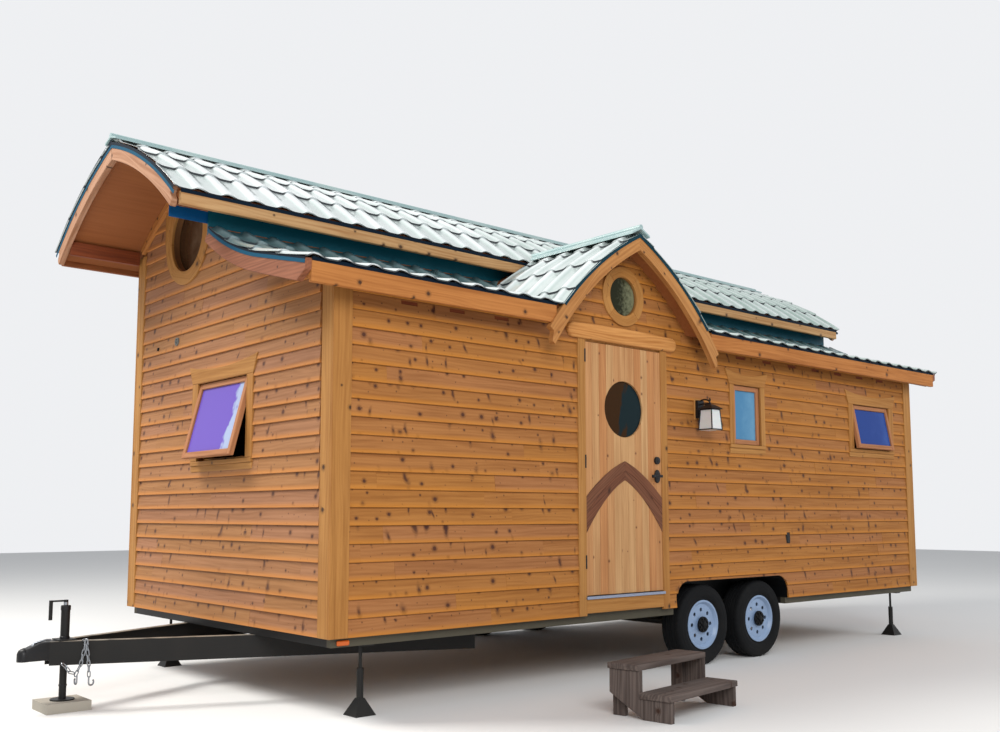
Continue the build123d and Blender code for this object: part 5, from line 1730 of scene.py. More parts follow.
        def clear(length: float) -> tuple[float, float]:
            """Keep the slope outside the dormer.

            Args:
                length: Length along the roof.

            Returns:
                Distances down between which it shows.
            """
            run = abs(length - dormer.middle)
            if run >= DORMER_RUN + 0.06:
                return 0.0, eave
            level = dormer.height(run, self.sink)
            return 0.0, bisect(0.0, eave, lambda distance: place(length, distance, self.sink).z <= level)

        ends = (plan.along(-SKIRT_FRONT) - self.overhang, plan.along(plan.length + REAR_EDGE) + self.overhang)
        slope = self.sheet("skirt_roof", place, ends, eave, clear)
        self.finish("skirt_roof_tiles", [slope], "skirt_roof_metal", SKIRT_PAINT)

    def dormer_roof(self) -> None:
        """Tiles on both slopes of the dormer, down to the valleys."""
        eave = dormer.down(DORMER_RUN)
        front = plan.across(-DORMER_FRONT) - self.overhang
        back = upper.middle - upper.run_at(dormer.apex + 0.03, self.sink)

        def shown(length: float) -> tuple[float, float]:
            """Keep the slope above the lower roof and the upper one.

            Args:
                length: Length along the roof.

            Returns:
                Distances down between which it shows.
            """
            run = upper.middle - length
            level = flare.z(min(max(length, flare.eave), plan.across(BAND)), self.sink)
            if run < UPPER_RUN + LIP:
                level = max(level, upper.height(run, self.sink))
            return 0.0, bisect(0.0, eave, lambda distance: dormer.at(distance, self.sink, 1)[1] < level)

        slopes = []
        for side in (-1, 1):
            def place(length: float, distance: float, lift: float, side: int = side) -> Vector:
                """Point of the slope."""
                x, z = dormer.at(distance, lift, side)
                return Vector((x, length, z))
            slopes.append(self.sheet("dormer", place, (front, back), eave, shown, side > 0))
        self.finish("dormer_roof_tiles", slopes, "dormer_roof_metal")

    def build(self) -> None:
        """Make the tiles of all three roofs."""
        self.upper_roof()
        self.skirt_roof()
        self.dormer_roof()
        dress(BAND_PAINT, "clerestory_band")
        dress(CAP_PAINT, "ridge_caps")


@dataclass
class Flashing:
    """Painted edge metal over the gable boards and along the eaves."""

    cover: float = 0.036
    hem: float = 0.012
    proud: float = 0.0025
    gauge: float = 0.0015
    past_eave: float = 0.006
    rise: float = 0.010
    far_rise: float = 0.032
    skirt_rise: float = 0.004
    dormer_cover: float = 0.020
    closer_start: float = 0.045
    closer_low: float = 0.045
    closer_top: float = 0.040

    def strip(self, piece: Piece, outline: Sequence[Point], face: float) -> None:
        """Add a strip that stands on a face across the house.

        Args:
            piece: The piece that it joins.
            outline: Its outline.
            face: X of the face.
        """
        piece.add(prism(outline, self.gauge), across_house(face))

    def gables(self) -> None:
        """Make the edge strips on the gables of the two long roofs, and the dark hems outside them as painted
        shade under the tiles' edges.
        """
        strips = Piece("gable_flashing", FLASHING_PAINT)
        # Dark hems: painted shade under the tiles' edges.
        hems = Piece("gable_hems", PAINTED_GAP_SHADE)
        eave = upper.down(UPPER_RUN) + self.past_eave
        top = flare.up(plan.across(BAND))
        rear = plan.along(plan.length + REAR_EDGE)
        for x, way in ((plan.along(-ARCH_FRONT), -1), (rear, 1)):
            face = x + way * self.proud
            for side in (1, -1):
                self.strip(strips, upper.band(-self.hem, -self.cover, eave, side), face)
                above = self.far_rise if side > 0 else self.rise
                hem = upper.band(above, -self.hem, eave - self.far_rise, side)
                self.strip(hems, hem, face + way * self.gauge / 2)
        lifts = ((strips, -self.hem, -self.cover), (hems, self.skirt_rise, -self.hem))
        for x, way in ((plan.along(-SKIRT_FRONT), -1), (rear, 1)):
            for piece, above, below in lifts:
                outer = [flare.at(top * share, above) for share in shares(24)]
                inner = [flare.at(top * share, below) for share in shares(24)]
                self.strip(piece, inner + outer[::-1], x + way * self.proud)
        strips.build("house", "flashing")
        hems.build("house", "flashing")

    def over_door(self) -> None:
        """Make the edge strip over the door."""
        piece = Piece("dormer_flashing", EDGE_PAINT)
        foot = dormer.down(dormer.run_at(flare.height + self.rise))
        place = along_house(0, plan.across(-DORMER_FRONT) - self.proud)
        for side in (1, -1):
            piece.add(prism(dormer.band(self.rise, -self.dormer_cover, foot, side), self.gauge), place)
        piece.build("house", "flashing")

    def band_end(self) -> None:
        """Make the piece that ends the band under the front arch."""
        piece = Piece("band_closer", CLOSER_PAINT)
        low = upper.height(UPPER_RUN) - Fascias().upper_height
        outside = plan.across(CLERESTORY) - self.proud
        start = (plan.along(self.closer_start - ARCH_FRONT), outside, low - self.closer_low)
        end = (plan.along(-SKIRT_FRONT), outside + self.gauge, low + self.closer_top)
        piece.board(start, end, Lengthways.X, 0.0)
        piece.build("house", "flashing")

    def build(self) -> None:
        """Make all of the edge metal."""
        self.gables()
        self.over_door()
        self.band_end()

@dataclass
class CurvedTimber:
    """Gable boards, rafters against the end walls and the beams between their feet."""

    board: float = 0.045
    depth: float = 0.124
    reach: float = 0.008
    rafter: float = 0.038
    deck: float = 0.06
    dormer_depth: float = 0.110
    dormer_reach: float = 1.031
    eave_depth: float = 0.150
    top_depth: float = 0.112
    square_end: float = 0.070
    chamfer: float = 0.004
    notch: float = 0.060
    dormer_notch: float = 0.075

    def arch(self, piece: Piece, place: Matrix, arch: Arch, lifts: tuple[float, float], run: float,
             thick: float, notch: float = 0.0) -> None:
        """Add both limbs of an arch.

        Args:
            piece: The piece that they join.
            place: Their placement.
            arch: Their line.
            lifts: Lifts of their upper and lower edges.
            run: Run from the middle to their feet.
            thick: Their thickness.
            notch: How far the upper half of each foot is cut back.
        """
        for side in (1, -1):
            solid = prism(arch.band(*lifts, arch.down(run), side, notch), thick, self.chamfer)
            piece.add(solid, place, arch.grain(side))

    def flared_board(self, piece: Piece, x: float) -> None:
        """Add the flared board at one end of the lower roof.

        Args:
            piece: The piece that it joins.
            x: X of its front.
        """
        top = flare.up(plan.across(BAND))
        slimmer = self.eave_depth - self.top_depth
        outer = [flare.at(top * share, 0.0) for share in shares(20)]
        inner = [flare.at(top * share, slimmer * share - self.eave_depth) for share in shares(20)]
        heel = [p for p in inner if p[0] > flare.eave + 0.07]
        foot = [(flare.eave + 0.025, heel[0][1] + 0.045), (flare.eave, flare.at(0.0, -self.square_end)[1])]
        outline = [*outer, *heel[::-1], *foot]
        piece.add(prism(outline[::-1], self.board, self.chamfer), across_house(x))

    def build(self) -> None:
        """Make the curved boards, the wall rafters and the foot beams."""
        rear = plan.along(plan.length + REAR_EDGE) - self.board
        arches = Piece("curved_gable_boards", ARCH_BOARD, 21)
        run = UPPER_RUN + self.reach
        for x in (plan.along(-ARCH_FRONT), rear):
            self.arch(arches, across_house(x), upper, (0.0, -self.depth), run, self.board, self.notch)
        arches.build("house", "gable_timber", ["gable_boards"])
        flared = Piece("flared_gable_boards", SKIRT_BOARD, 25)
        for x in (plan.along(-SKIRT_FRONT), rear):
            self.flared_board(flared, x)
        flared.build("house", "gable_timber")
        over_door = Piece("dormer_gable_boards", DORMER_BOARD, 24)
        place = along_house(0, plan.across(-DORMER_FRONT) + self.board)
        self.arch(over_door, place, dormer, (0.0, -self.dormer_depth), self.dormer_reach, self.board,
                  self.dormer_notch)
        over_door.build("house", "gable_timber")
        rafters = Piece("loft_wall_rafters", TRIM_WARM, 22)
        run = plan.far - upper.middle
        for x in (plan.hitch - self.rafter, plan.rear):
            self.arch(rafters, across_house(x), upper, (-self.deck, -self.depth), run, self.rafter)
        rafters.build("house", "gable_timber", ["wall_arch_rafters"])
        beams = Piece("arch_foot_beams_sawn", FOOT_BEAM, 23)
        low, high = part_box("arch_foot_beams")
        front = plan.along(self.board - ARCH_FRONT)
        for start, end in ((front, plan.hitch - self.rafter), (plan.rear + self.rafter, rear)):
            for outer, way in ((plan.far, -1), (plan.across(CLERESTORY), 1)):
                beams.board((start, outer, low.z), (end, outer + way * self.rafter, high.z), Lengthways.X)
        beams.build("house", "gable_timber", ["arch_foot_beams"])


@dataclass
class Fascias:
    """Boards along the eaves of both roofs, and the roof decks behind them."""

    thick: float = 0.038
    upper_height: float = 0.092
    eave_height: float = 0.140
    board: float = 0.045
    play: float = 0.001
    chamfer: float = 0.004
    strip: float = 0.012
    strip_proud: float = 0.002

    def build(self) -> None:
        """Make the upper fascias, the eave fascia and its dark strips of painted shade, and dress the decks.
        """
        rear = plan.along(plan.length + REAR_EDGE) - self.board
        front = plan.along(self.board - ARCH_FRONT)
        top, level = upper.height(UPPER_RUN), flare.height
        # The far side's fascia wears the shaded copy of the fascia wood: painted shade.
        for side, name, finish in ((-1, "door_side", FASCIA_PALE), (1, "far_side", FASCIA_PAINTED_SHADE)):
            piece = Piece(f"upper_fascia_{name}", finish, 31)
            outer = upper.middle + side * UPPER_RUN
            end = (rear - self.play, outer - side * self.thick, top)
            piece.board((front, outer, top - self.upper_height), end, Lengthways.X, self.chamfer)
            piece.build("house", "trim")
        eave = Piece("eave_fascia", TRIM_WARM, 32)
        reach = dormer.run_at(level - self.eave_height / 2)
        gaps = ((plan.along(self.board - SKIRT_FRONT), dormer.middle - reach), (dormer.middle + reach, rear))
        for start, end in gaps:
            eave.board((start, flare.eave, level - self.eave_height),
                       (end - self.play, flare.eave + self.thick, level), Lengthways.X, self.chamfer)
        eave.build("house", "trim", ["fascias"])
        # Dark strips along the fascias' tops: painted shade under the tiles' edges.
        strips = Piece("eave_strips", PAINTED_GAP_SHADE)
        runs = [(upper.middle + side * UPPER_RUN, side, top, (front, rear)) for side in (1, -1)]
        runs += [(flare.eave, -1, level, gap) for gap in gaps]
        for outer, side, height, (start, end) in runs:
            strips.board((start, outer - side * self.strip_proud, height - self.strip),
                         (end, outer + side * self.strip_proud, height + self.strip), Lengthways.X, 0.0)
        strips.build("house", "flashing")
        dress(SOFFIT, "upper_roof_deck", "skirt_roof_deck", "dormer_roof_deck")


@dataclass
class CornerBoards:
    """Two boards at each corner of the house."""

    wide: float = 0.140
    end_wide: float = 0.115
    thick: float = 0.022
    joint: float = 0.0004
    under_deck: float = 0.06

    def build(self) -> None:
        """Make the boards."""
        piece = Piece("corner_board_pairs", TRIM, 41)
        far_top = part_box("corner_boards")[1].z
        tops = ((plan.door, 1, flare.z(plan.door, -self.under_deck) - 0.004), (plan.far, -1, far_top))
        for x, x_way in ((plan.hitch, 1), (plan.rear, -1)):
            for y, y_way, top in tops:
                outer_x = x - x_way * self.thick
                side = (x + x_way * (self.wide - self.thick), y, top)
                piece.board((outer_x, y - y_way * self.thick, plan.foot), side, Lengthways.Z)
                end = (x, y + y_way * self.end_wide, top)
                piece.board((outer_x, y + y_way * self.joint, plan.foot), end, Lengthways.Z)
        piece.build("house", "trim", ["corner_boards"])


@dataclass
class EaveVents:
    """Vent slots between the rafters, under the eave, filled with dark wood as painted shade of the recesses.
    """

    first: float = 0.57
    spacing: float = 0.407
    wide: float = 0.135
    tall: float = 0.026
    height: float = 2.636
    recess: float = 0.004
    beside_dormer: float = 0.95

    def places(self) -> list[float]:
        """Middles of the slots that show beside the dormer.

        Returns:
            The middles, from the hitch end.
        """
        count = int((plan.length - 2 * self.first) / self.spacing) + 1
        middles = [self.first + self.spacing * index for index in range(count)]
        clear = dormer.middle - plan.hitch
        return [m for m in middles if abs(m - clear) > self.beside_dormer]

    def outlines(self) -> list[list[Point]]:
        """Outlines of the slots on the door side."""
        half = self.wide / 2
        return [rectangle(self.wide, self.tall, place - half, self.height) for place in self.places()]

    def build(self) -> None:
        """Fill each slot with a thin dark board, which is painted shade."""
        # The dark wood stands for the shade inside each slot.
        piece = Piece("eave_vents", FOOT_BEAM)
        for outline in self.outlines():
            piece.add(prism(outline, self.recess), DOOR_SIDE.place())
        piece.build("house", "trim")


PANES = {
    "narrow": SKY_PANE, "rear_awning": BLUE_PANE, "hitch_end": PURPLE_PANE, "rear_end": HOUSE_PANE,
    "far_front": HOUSE_PANE, "far_rear": HOUSE_PANE, "loft": LOFT_PANE, "rear_loft": LOFT_PANE,
    "dormer": DORMER_PANE,
}


@dataclass
class WindowJoinery:
    """Casings, sashes, frames and glass of the rectangular windows."""

    casing_thick: float = 0.022
    sash: float = 0.042
    sash_thick: float = 0.036
    gap: float = 0.004
    stop: float = 0.018
    stop_margin: float = 0.012
    bite: float = 0.006
    glass: float = 0.006
    sill: float = 0.034
    wall: float = 0.130
    joint: float = 0.0006
    relief: float = 0.004

    def casing(self, piece: Piece, window: Opening) -> None:
        """Add the head, sides, sill and apron of one window.

        Args:
            piece: The piece that they join.
            window: The window.
        """
        place = window.wall.place()
        left = window.x - window.wide / 2 - window.casing
        right = window.x + window.wide / 2
        low = window.height - window.tall / 2
        wide = window.wide + 2 * window.casing
        rest = window.apron - self.sill
        boards = (
            (window.head_board(), 0.0, None),
            (rectangle(window.casing, window.tall - self.joint, left, low), 0.0, upright),
            (rectangle(window.casing, window.tall - self.joint, right, low), 0.0, upright),
            (rectangle(wide, self.sill - self.joint, left, low - self.sill), self.relief, None),
            (rectangle(wide, rest - self.joint, left, low - window.apron), -self.relief, None),
        )
        for outline, proud, grain in boards:
            piece.add(prism(outline, self.casing_thick + proud, 0.003), place, grain)

    def ladder(self, piece: Piece, place: Matrix, wide: float, tall: float, bar: float, thick: float) -> None:
        """Add four bars round a rectangle that is centred on the placement.

        Args:
            piece: The piece that they join.
            place: Placement of the middle.
            wide: Width over the bars.
            tall: Height over the bars.
            bar: Width of a bar.
            thick: Thickness of a bar.
        """
        for x in (-wide / 2, wide / 2 - bar):
            piece.add(prism(rectangle(bar, tall, x, -tall / 2), thick, 0.0025), place, upright)
        inner = wide - 2 * bar - self.joint
        for y in (-tall / 2, tall / 2 - bar):
            piece.add(prism(rectangle(inner, bar, -inner / 2, y), thick, 0.0025), place)

    def build(self) -> None:
        """Make the joinery of every window."""
        casings = Piece("window_casings", TRIM, 51)
        sashes = Piece("window_sash_bars", SASH_WOOD, 52)
        stops = Piece("window_stop_bars", TRIM, 53)
        for window in WINDOWS:
            self.casing(casings, window)
            middle = window.wall.place(window.x, window.height)
            wide = window.wide - 2 * self.gap
            tall = window.tall - 2 * self.gap
            lean = math.radians(window.tilt)
            back = self.sash_thick * (1 - math.cos(lean))
            swing = moved(0, window.tall / 2 - self.gap, -back) @ Matrix.Rotation(-lean, 4, "X")
            sash = middle @ (swing @ moved(0, -tall / 2, -self.sash_thick))
            self.ladder(sashes, sash, wide, tall, self.sash, self.sash_thick)
            depth = self.wall - self.sash_thick - self.stop_margin
            behind = middle @ moved(0, 0, -self.sash_thick - depth)
            self.ladder(stops, behind, window.wide, window.tall, self.stop, depth)
            self.pane(window, sash, wide - 2 * self.sash, tall - 2 * self.sash)
        self.round_trims(casings)
        lantern = Lantern()
        casings.add(prism(lantern.board_outline(), lantern.board_thick, 0.003), DOOR_SIDE.place(), upright)
        casings.build("house", "trim", ["wall_trim"])
        sashes.build("house", "trim", ["window_sashes"])
        stops.build("house", "trim", ["window_frames"])
        for port in PORTHOLES:
            self.round_pane(port)

    def pane(self, window: Opening, place: Matrix, wide: float, tall: float) -> None:
        """Add a window's glass, its grain running from 0 on the left to 1 on the right.

        Args:
            window: The window.
            place: Placement of the sash.
            wide: Width that shows.
            tall: Height that shows.
        """
        def across(x: float, y: float) -> Point:
            """Share of the pane's width."""
            return x / wide + 0.5, y / wide

        piece = Piece(f"{window.name}_pane", PANES[window.name], scatter=0.0)
        edge = self.bite
        outline = rectangle(wide + 2 * edge, tall + 2 * edge, -wide / 2 - edge, -tall / 2 - edge)
        piece.add(prism(outline, self.glass), place @ moved(0, 0, (self.sash_thick - self.glass) / 2), across)
        piece.build("house", "window_glass", ["window_glass"] if window.name == "narrow" else [])

    def round_pane(self, port: Porthole) -> None:
        """Add a round window's glass.

        Args:
            port: The round window.
        """
        def across(x: float, y: float) -> Point:
            """Share of the pane's width."""
            return x / port.radius / 2 + 0.5, y / port.radius / 2

        piece = Piece(f"{port.name}_pane", PANES[port.name], scatter=0.0)
        place = port.wall.place(port.wall.x(port.distance), port.height, -port.depth)
        piece.add(prism(circle(port.radius - 0.001, count=64), self.glass), place, across)
        piece.build("house", "window_glass")

    def round_trims(self, piece: Piece) -> None:
        """Add the rings of the round windows, each in four curved boards, and their linings.

        Args:
            piece: The piece that the rings join.
        """
        linings = Piece("porthole_linings", LINING, 54)
        quarters = [math.pi / 4 + quarter * math.pi / 2 for quarter in range(4)]
        for port in PORTHOLES:
            x = port.wall.x(port.distance)
            place = port.wall.place()

            def bent(a: float, b: float, x: float = x, port: Porthole = port) -> Point:
                """Grain round the ring."""
                a, b = a - x, b - port.height
                return math.atan2(b, a) * port.radius, math.hypot(a, b)

            for first in quarters:
                ends = (first, first + math.pi / 2 - 0.003)
                outer = arc(port.radius + port.trim, *ends, 14, x, port.height)
                inner = arc(port.radius - 0.004, *ends, 14, x, port.height)
                piece.add(prism(outer + inner[::-1], 0.024, 0.003), place, bent)
            thin = port.radius - 0.006
            tunnel = [(port.radius, 0.0), (port.radius, -self.wall), (thin, -self.wall), (thin, 0.0)]
            linings.add(lathe(tunnel, 64), port.wall.place(x, port.height),
                        lambda a, b: (math.atan2(b, a) * 0.3, 0.0))
            if port.ears:
                for side in (1, -1):
                    piece.add(prism(ear_outline(port, side), 0.02, 0.002), place, upright)
        linings.build("house", "trim")


@dataclass
class Door:
    """The doorway's boards and the door leaf with its boards, inlay, glass and furniture."""

    count: int = 11
    thick: float = 0.045
    set_out: float = 0.016
    foot: float = 0.649
    top: float = 2.580
    groove: float = 0.0035
    window_radius: float = 0.222
    window_height: float = 2.082
    inlay_apex: float = 1.672
    inlay_apex_width: float = 0.148
    inlay_foot_top: float = 1.386
    inlay_foot_low: float = 1.110
    inlay_bulge: float = 0.034
    inlay_low_bulge: float = 0.054
    inlay_thick: float = 0.0048
    backset: float = 0.062
    lock_height: float = 1.690
    lever_height: float = 1.562

    def board_outlines(self, left: float, right: float) -> list[list[Point]]:
        """Outlines of one upright board of the leaf, cut round the window.

        Args:
            left: The board's left edge.
            right: Its right edge.

        Returns:
            One outline, or two where the window parts it.
        """
        radius, middle = self.window_radius, self.window_height
        foot = [(left, self.foot), (right, self.foot)]
        top = [(right, self.top), (left, self.top)]
        nearest = 0.0 if left < 0.0 < right else min(abs(left), abs(right))
        if nearest >= radius:
            return [foot + top]
        low, high = max(left, -radius), min(right, radius)
        across = [low + (high - low) * (1 - math.cos(math.pi * share)) / 2 for share in shares(8)]
        rim = [(x, math.sqrt(max(radius ** 2 - x * x, 0.0))) for x in across]
        under = [(x, middle - rise) for x, rise in rim]
        over = [(x, middle + rise) for x, rise in rim]
        if left < -radius:
            return [[*foot, *under[::-1], *over[1:], *top]]
        if right > radius:
            return [[*foot, *top, *over, *under[-2::-1]]]
        return [[*foot, *under[::-1]], [*over, *top]]

    def place(self, inwards: float, height: float = 0.0) -> Matrix:
        """Placement on the leaf's middle line, this far behind its front."""
        return along_house(plan.along(DOORWAY.middle), plan.door - self.set_out + inwards, height)

    def leaf(self) -> None:
        """Make the leaf from upright boards that leave its round window open."""
        piece = Piece("door_boards", DOOR_WOOD, 61)
        wide = DOORWAY.leaf / self.count
        for index in range(self.count):
            left = index * wide - DOORWAY.leaf / 2
            for outline in self.board_outlines(left, left + wide - 0.0004):
                piece.add(prism(outline, self.thick, self.groove), self.place(self.thick), upright)
        piece.build("door", "door_wood", ["door_leaf"])

    def pane(self) -> None:
        """Add the leaf's round glass."""
        piece = Piece("door_pane", DOOR_PANE, scatter=0.0)
        glass = prism(circle(self.window_radius - 0.001, count=64), 0.006)
        place = self.place(self.thick / 2, self.window_height)
        piece.add(glass, place, lambda x, y: (x / self.window_radius / 2 + 0.5, y))
        piece.build("door", "window_glass", ["door_glass"])

    def limb(self, side: int, share_top: float, share_low: float) -> list[Point]:
        """Outline of one strip of the inlay between two shares of its width.

        Args:
            side: Which side of the leaf, 1 or -1.
            share_top: Share at its upper edge.
            share_low: Share at its lower edge.

        Returns:
            The outline.
        """
        half = DOORWAY.leaf / 2 - 0.001
        low_apex = self.inlay_apex - self.inlay_apex_width

        def line(share: float) -> list[Point]:
            """Points along the inlay at a share of its width from its top edge.

            Args:
                share: The share.

            Returns:
                The points, from the middle out.
            """
            start = self.inlay_apex + (low_apex - self.inlay_apex) * share
            end = self.inlay_foot_top + (self.inlay_foot_low - self.inlay_foot_top) * share
            bulge = self.inlay_bulge + (self.inlay_low_bulge - self.inlay_bulge) * share
            fall = end - start
            return [(side * half * s, start + fall * s + 4 * bulge * s * (1 - s)) for s in shares(20)]

        outline = line(share_top) + line(share_low)[::-1]
        return outline if side < 0 else outline[::-1]

    def inlay(self) -> None:
        """Make the curved dark boards on the leaf, two strips to each side."""
        piece = Piece("door_inlay_boards", WALNUT, 62)
        for side in (1, -1):
            for ends in ((0.0, 0.495), (0.505, 1.0)):
                piece.add(prism(self.limb(side, *ends), self.inlay_thick, 0.0012), self.place(0.0),
                          lambda x, y: (abs(x) * 1.22, y + abs(x) * 0.75))
        piece.build("door", "inlay", ["door_inlay"])

    def surround(self) -> None:
        """Make the casings, the lintel and the board under the threshold."""
        piece = Piece("door_casing_boards", TRIM, 63)
        inner, outer = DOORWAY.casing_inner, DOORWAY.casing_outer - DOORWAY.reveal
        bottom = DOORWAY.head + DOORWAY.reveal
        for x in (DOORWAY.middle - outer, DOORWAY.middle + inner):
            outline = rectangle(outer - inner, bottom - plan.foot, x, plan.foot)
            piece.add(prism(outline, DOORWAY.casing_thick, 0.003), DOOR_SIDE.place(), upright)
        low = DOORWAY.sill_top - DOORWAY.sill_board
        outline = rectangle(2 * inner, DOORWAY.sill_board, DOORWAY.middle - inner, low)
        piece.add(prism(outline, DOORWAY.casing_thick, 0.003), DOOR_SIDE.place())
        piece.build("house", "trim", ["door_casing"])
        lintel = Piece("door_lintel", ROUNDED_WOOD, 64)
        lintel.add(prism(DOORWAY.lintel_outline(), DOORWAY.lintel_thick, 0.018, 4), DOOR_SIDE.place())
        lintel.build("house", "trim")

    def furniture(self) -> None:
        """Make the lock's collar, the lever's rose and the lever's rounded handle."""
        def facing(z: float, out: float = 0.0) -> Matrix:
            """Placement on the leaf's lock line at a height."""
            across = plan.along(DOORWAY.middle + DOORWAY.leaf / 2 - self.backset)
            return along_house(across, plan.door - self.set_out - out, z)

        plates = Piece("lock_plates", IRON)
        collar = [(0.0, 0.018), (0.016, 0.018), (0.026, 0.014), (0.031, 0.006), (0.031, 0.0), (0.0, 0.0)]
        keyway = [(0.0, 0.0215), (0.009, 0.021), (0.012, 0.017), (0.012, 0.010), (0.0, 0.010)]
        for profile, count in ((collar, 40), (keyway, 24)):
            plates.add(lathe(profile, count, closed=False), facing(self.lock_height))
        rose = [(0.0325 * x, 0.0535 * y) for x, y in circle(1.0, count=40)]
        plates.add(prism(rose, 0.0135, 0.004, 3), facing(self.lever_height))
        plates.build("door", "black_metal")
        handle = Piece("lever_handle", IRON)
        path = [Vector((0.004 - 0.112 * s, 0.004 * math.sin(math.pi * s) - 0.006 * s * s, 0.0))
                for s in shares(10)]
        handle.add(tube(path, 0.0105, 14), facing(self.lever_height, 0.051))
        handle.build("lever", "black_metal")

    def build(self) -> None:
        """Make the doorway and its leaf."""
        self.surround()
        self.leaf()
        self.inlay()
        self.pane()
        self.furniture()
        dress(TRIM_Z, "door_frame")
        dress(THRESHOLD_METAL, "door_threshold")
        dress(IRON, "door_hinges", "door_hardware", "door_lever")


@dataclass
class Lantern:
    """The wall lantern on its board."""

    distance: float = 3.604
    height: float = 2.143
    board_wide: float = 0.110
    board_tall: float = 0.180
    board_thick: float = 0.020
    top_half: float = 0.056
    bar: float = 0.005

    def board_outline(self) -> list[Point]:
        """Outline of the lantern's board."""
        return rectangle(self.board_wide, self.board_tall, self.distance - self.board_wide / 2,
                         self.height - self.board_tall / 2)

    def build(self) -> None:
        """Dress the lantern and add its cage, its cap's finial and its curved arm."""
        dress(IRON, "lantern_frame")
        dress(ETCHED, "lantern_glass")
        low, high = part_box("lantern_glass")
        x, y = (low.x + high.x) / 2, (low.y + high.y) / 2
        foot = (high.x - low.x) / 2

        def corner(index: int, z: float, half: float) -> Vector:
            """Corner of a square round the lantern's middle."""
            a, b = ((-1, -1), (1, -1), (1, 1), (-1, 1))[index % 4]
            return Vector((x + a * half, y + b * half, z))

        cage = Piece("lantern_cage", IRON)
        for index in range(4):
            post = [corner(index, low.z, foot), corner(index, high.z, self.top_half)]
            cage.add(tube(post, self.bar, 8))
            for z, half in ((low.z + self.bar, foot), (high.z - self.bar, self.top_half)):
                cage.add(tube([corner(index, z, half), corner(index + 1, z, half)], self.bar, 8))
        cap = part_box("lantern_frame")[1].z
        finial = [(0.0, 0.03), (0.006, 0.026), (0.004, 0.018), (0.011, 0.011), (0.006, 0.003), (0.006, 0.0),
                  (0.0, 0.0)]
        cage.add(lathe(finial, 16, closed=False), moved(x, y, cap - 0.012))
        wall = plan.door - self.board_thick
        reach = (wall - y) / 2
        bend = arc(1.0, 0.0, math.pi, 12)
        arm = [Vector((x, wall - reach + reach * a, cap - 0.03 + 0.035 * b)) for a, b in bend]
        cage.add(tube(arm, 0.007, 10))
        cage.build("house", "black_metal")


@dataclass
class SmallFittings:
    """Power inlet, vent and marker lamps."""

    inlet: float = 4.9
    inlet_height: float = 1.042
    inlet_wide: float = 0.056
    inlet_tall: float = 0.100
    vent: float = 2.304
    vent_height: float = 2.619
    vent_radius: float = 0.033
    hole: float = 2.660
    hole_height: float = 2.600
    marker: float = 0.105

    def inlet_outline(self) -> list[Point]:
        """Outline of the power inlet."""
        return rectangle(self.inlet_wide, self.inlet_tall, self.inlet - self.inlet_wide / 2,
                         self.inlet_height - self.inlet_tall / 2)

    def power_inlet(self) -> None:
        """Make the power inlet's box and its lid."""
        piece = Piece("power_inlet", IRON)
        place = DOOR_SIDE.place(self.inlet, self.inlet_height)
        wide, tall = self.inlet_wide, self.inlet_tall
        piece.add(prism(rectangle(wide, tall, -wide / 2, -tall / 2), 0.013, 0.003), place)
        lid = rectangle(wide - 0.010, tall - 0.034, 0.005 - wide / 2, 0.006 - tall / 2)
        piece.add(prism(lid, 0.007, 0.003), place @ moved(0, 0, 0.0125))
        piece.build("house", "plastic", ["wall_fittings"])

    def wall_vents(self) -> None:
        """Make the round vent with its slats, and dark discs inside it and beside it as painted shade of two
        holes.
        """
        piece = Piece("round_vent", VENT_GREY)
        place = HITCH_END.place(HITCH_END.x(self.vent), self.vent_height)
        radius = self.vent_radius
        hoop = [(radius, 0.0), (radius, 0.019), (radius - 0.006, 0.021), (radius - 0.009, 0.017),
                (radius - 0.009, 0.0)]
        piece.add(lathe(hoop, 36), place)
        for step in range(-2, 3):
            reach = math.sqrt(radius ** 2 - (0.011 * step) ** 2) - 0.007
            piece.add(prism(rectangle(2 * reach, 0.006, -reach, 0.011 * step - 0.003), 0.018), place)
        piece.build("house", "plastic")
        # Dark discs that stand for the shade inside the vent and the hole beside it.
        dark = Piece("wall_holes", HOLE_PAINTED_SHADE)
        dark.add(prism(circle(radius - 0.008, count=36), 0.014), place)
        beside = HITCH_END.place(HITCH_END.x(self.hole), self.hole_height)
        dark.add(prism(circle(0.014, count=24), 0.020), beside)
        dark.build("house", "plastic")

    def build(self) -> None:
        """Make the inlet, the vents and the marker lamps."""
        self.power_inlet()
        self.wall_vents()
        lamps = Piece("marker_lamps", AMBER)
        low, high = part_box("frame_rails")
        for y, way in ((low.y, -1), (high.y, 1)):
            start = (plan.along(self.marker - 0.045), y, low.z + 0.010)
            end = (plan.along(self.marker + 0.045), y + way * 0.018, low.z + 0.042)
            lamps.board(start, end, Lengthways.X, 0.006)
        lamps.build("house", "plastic")


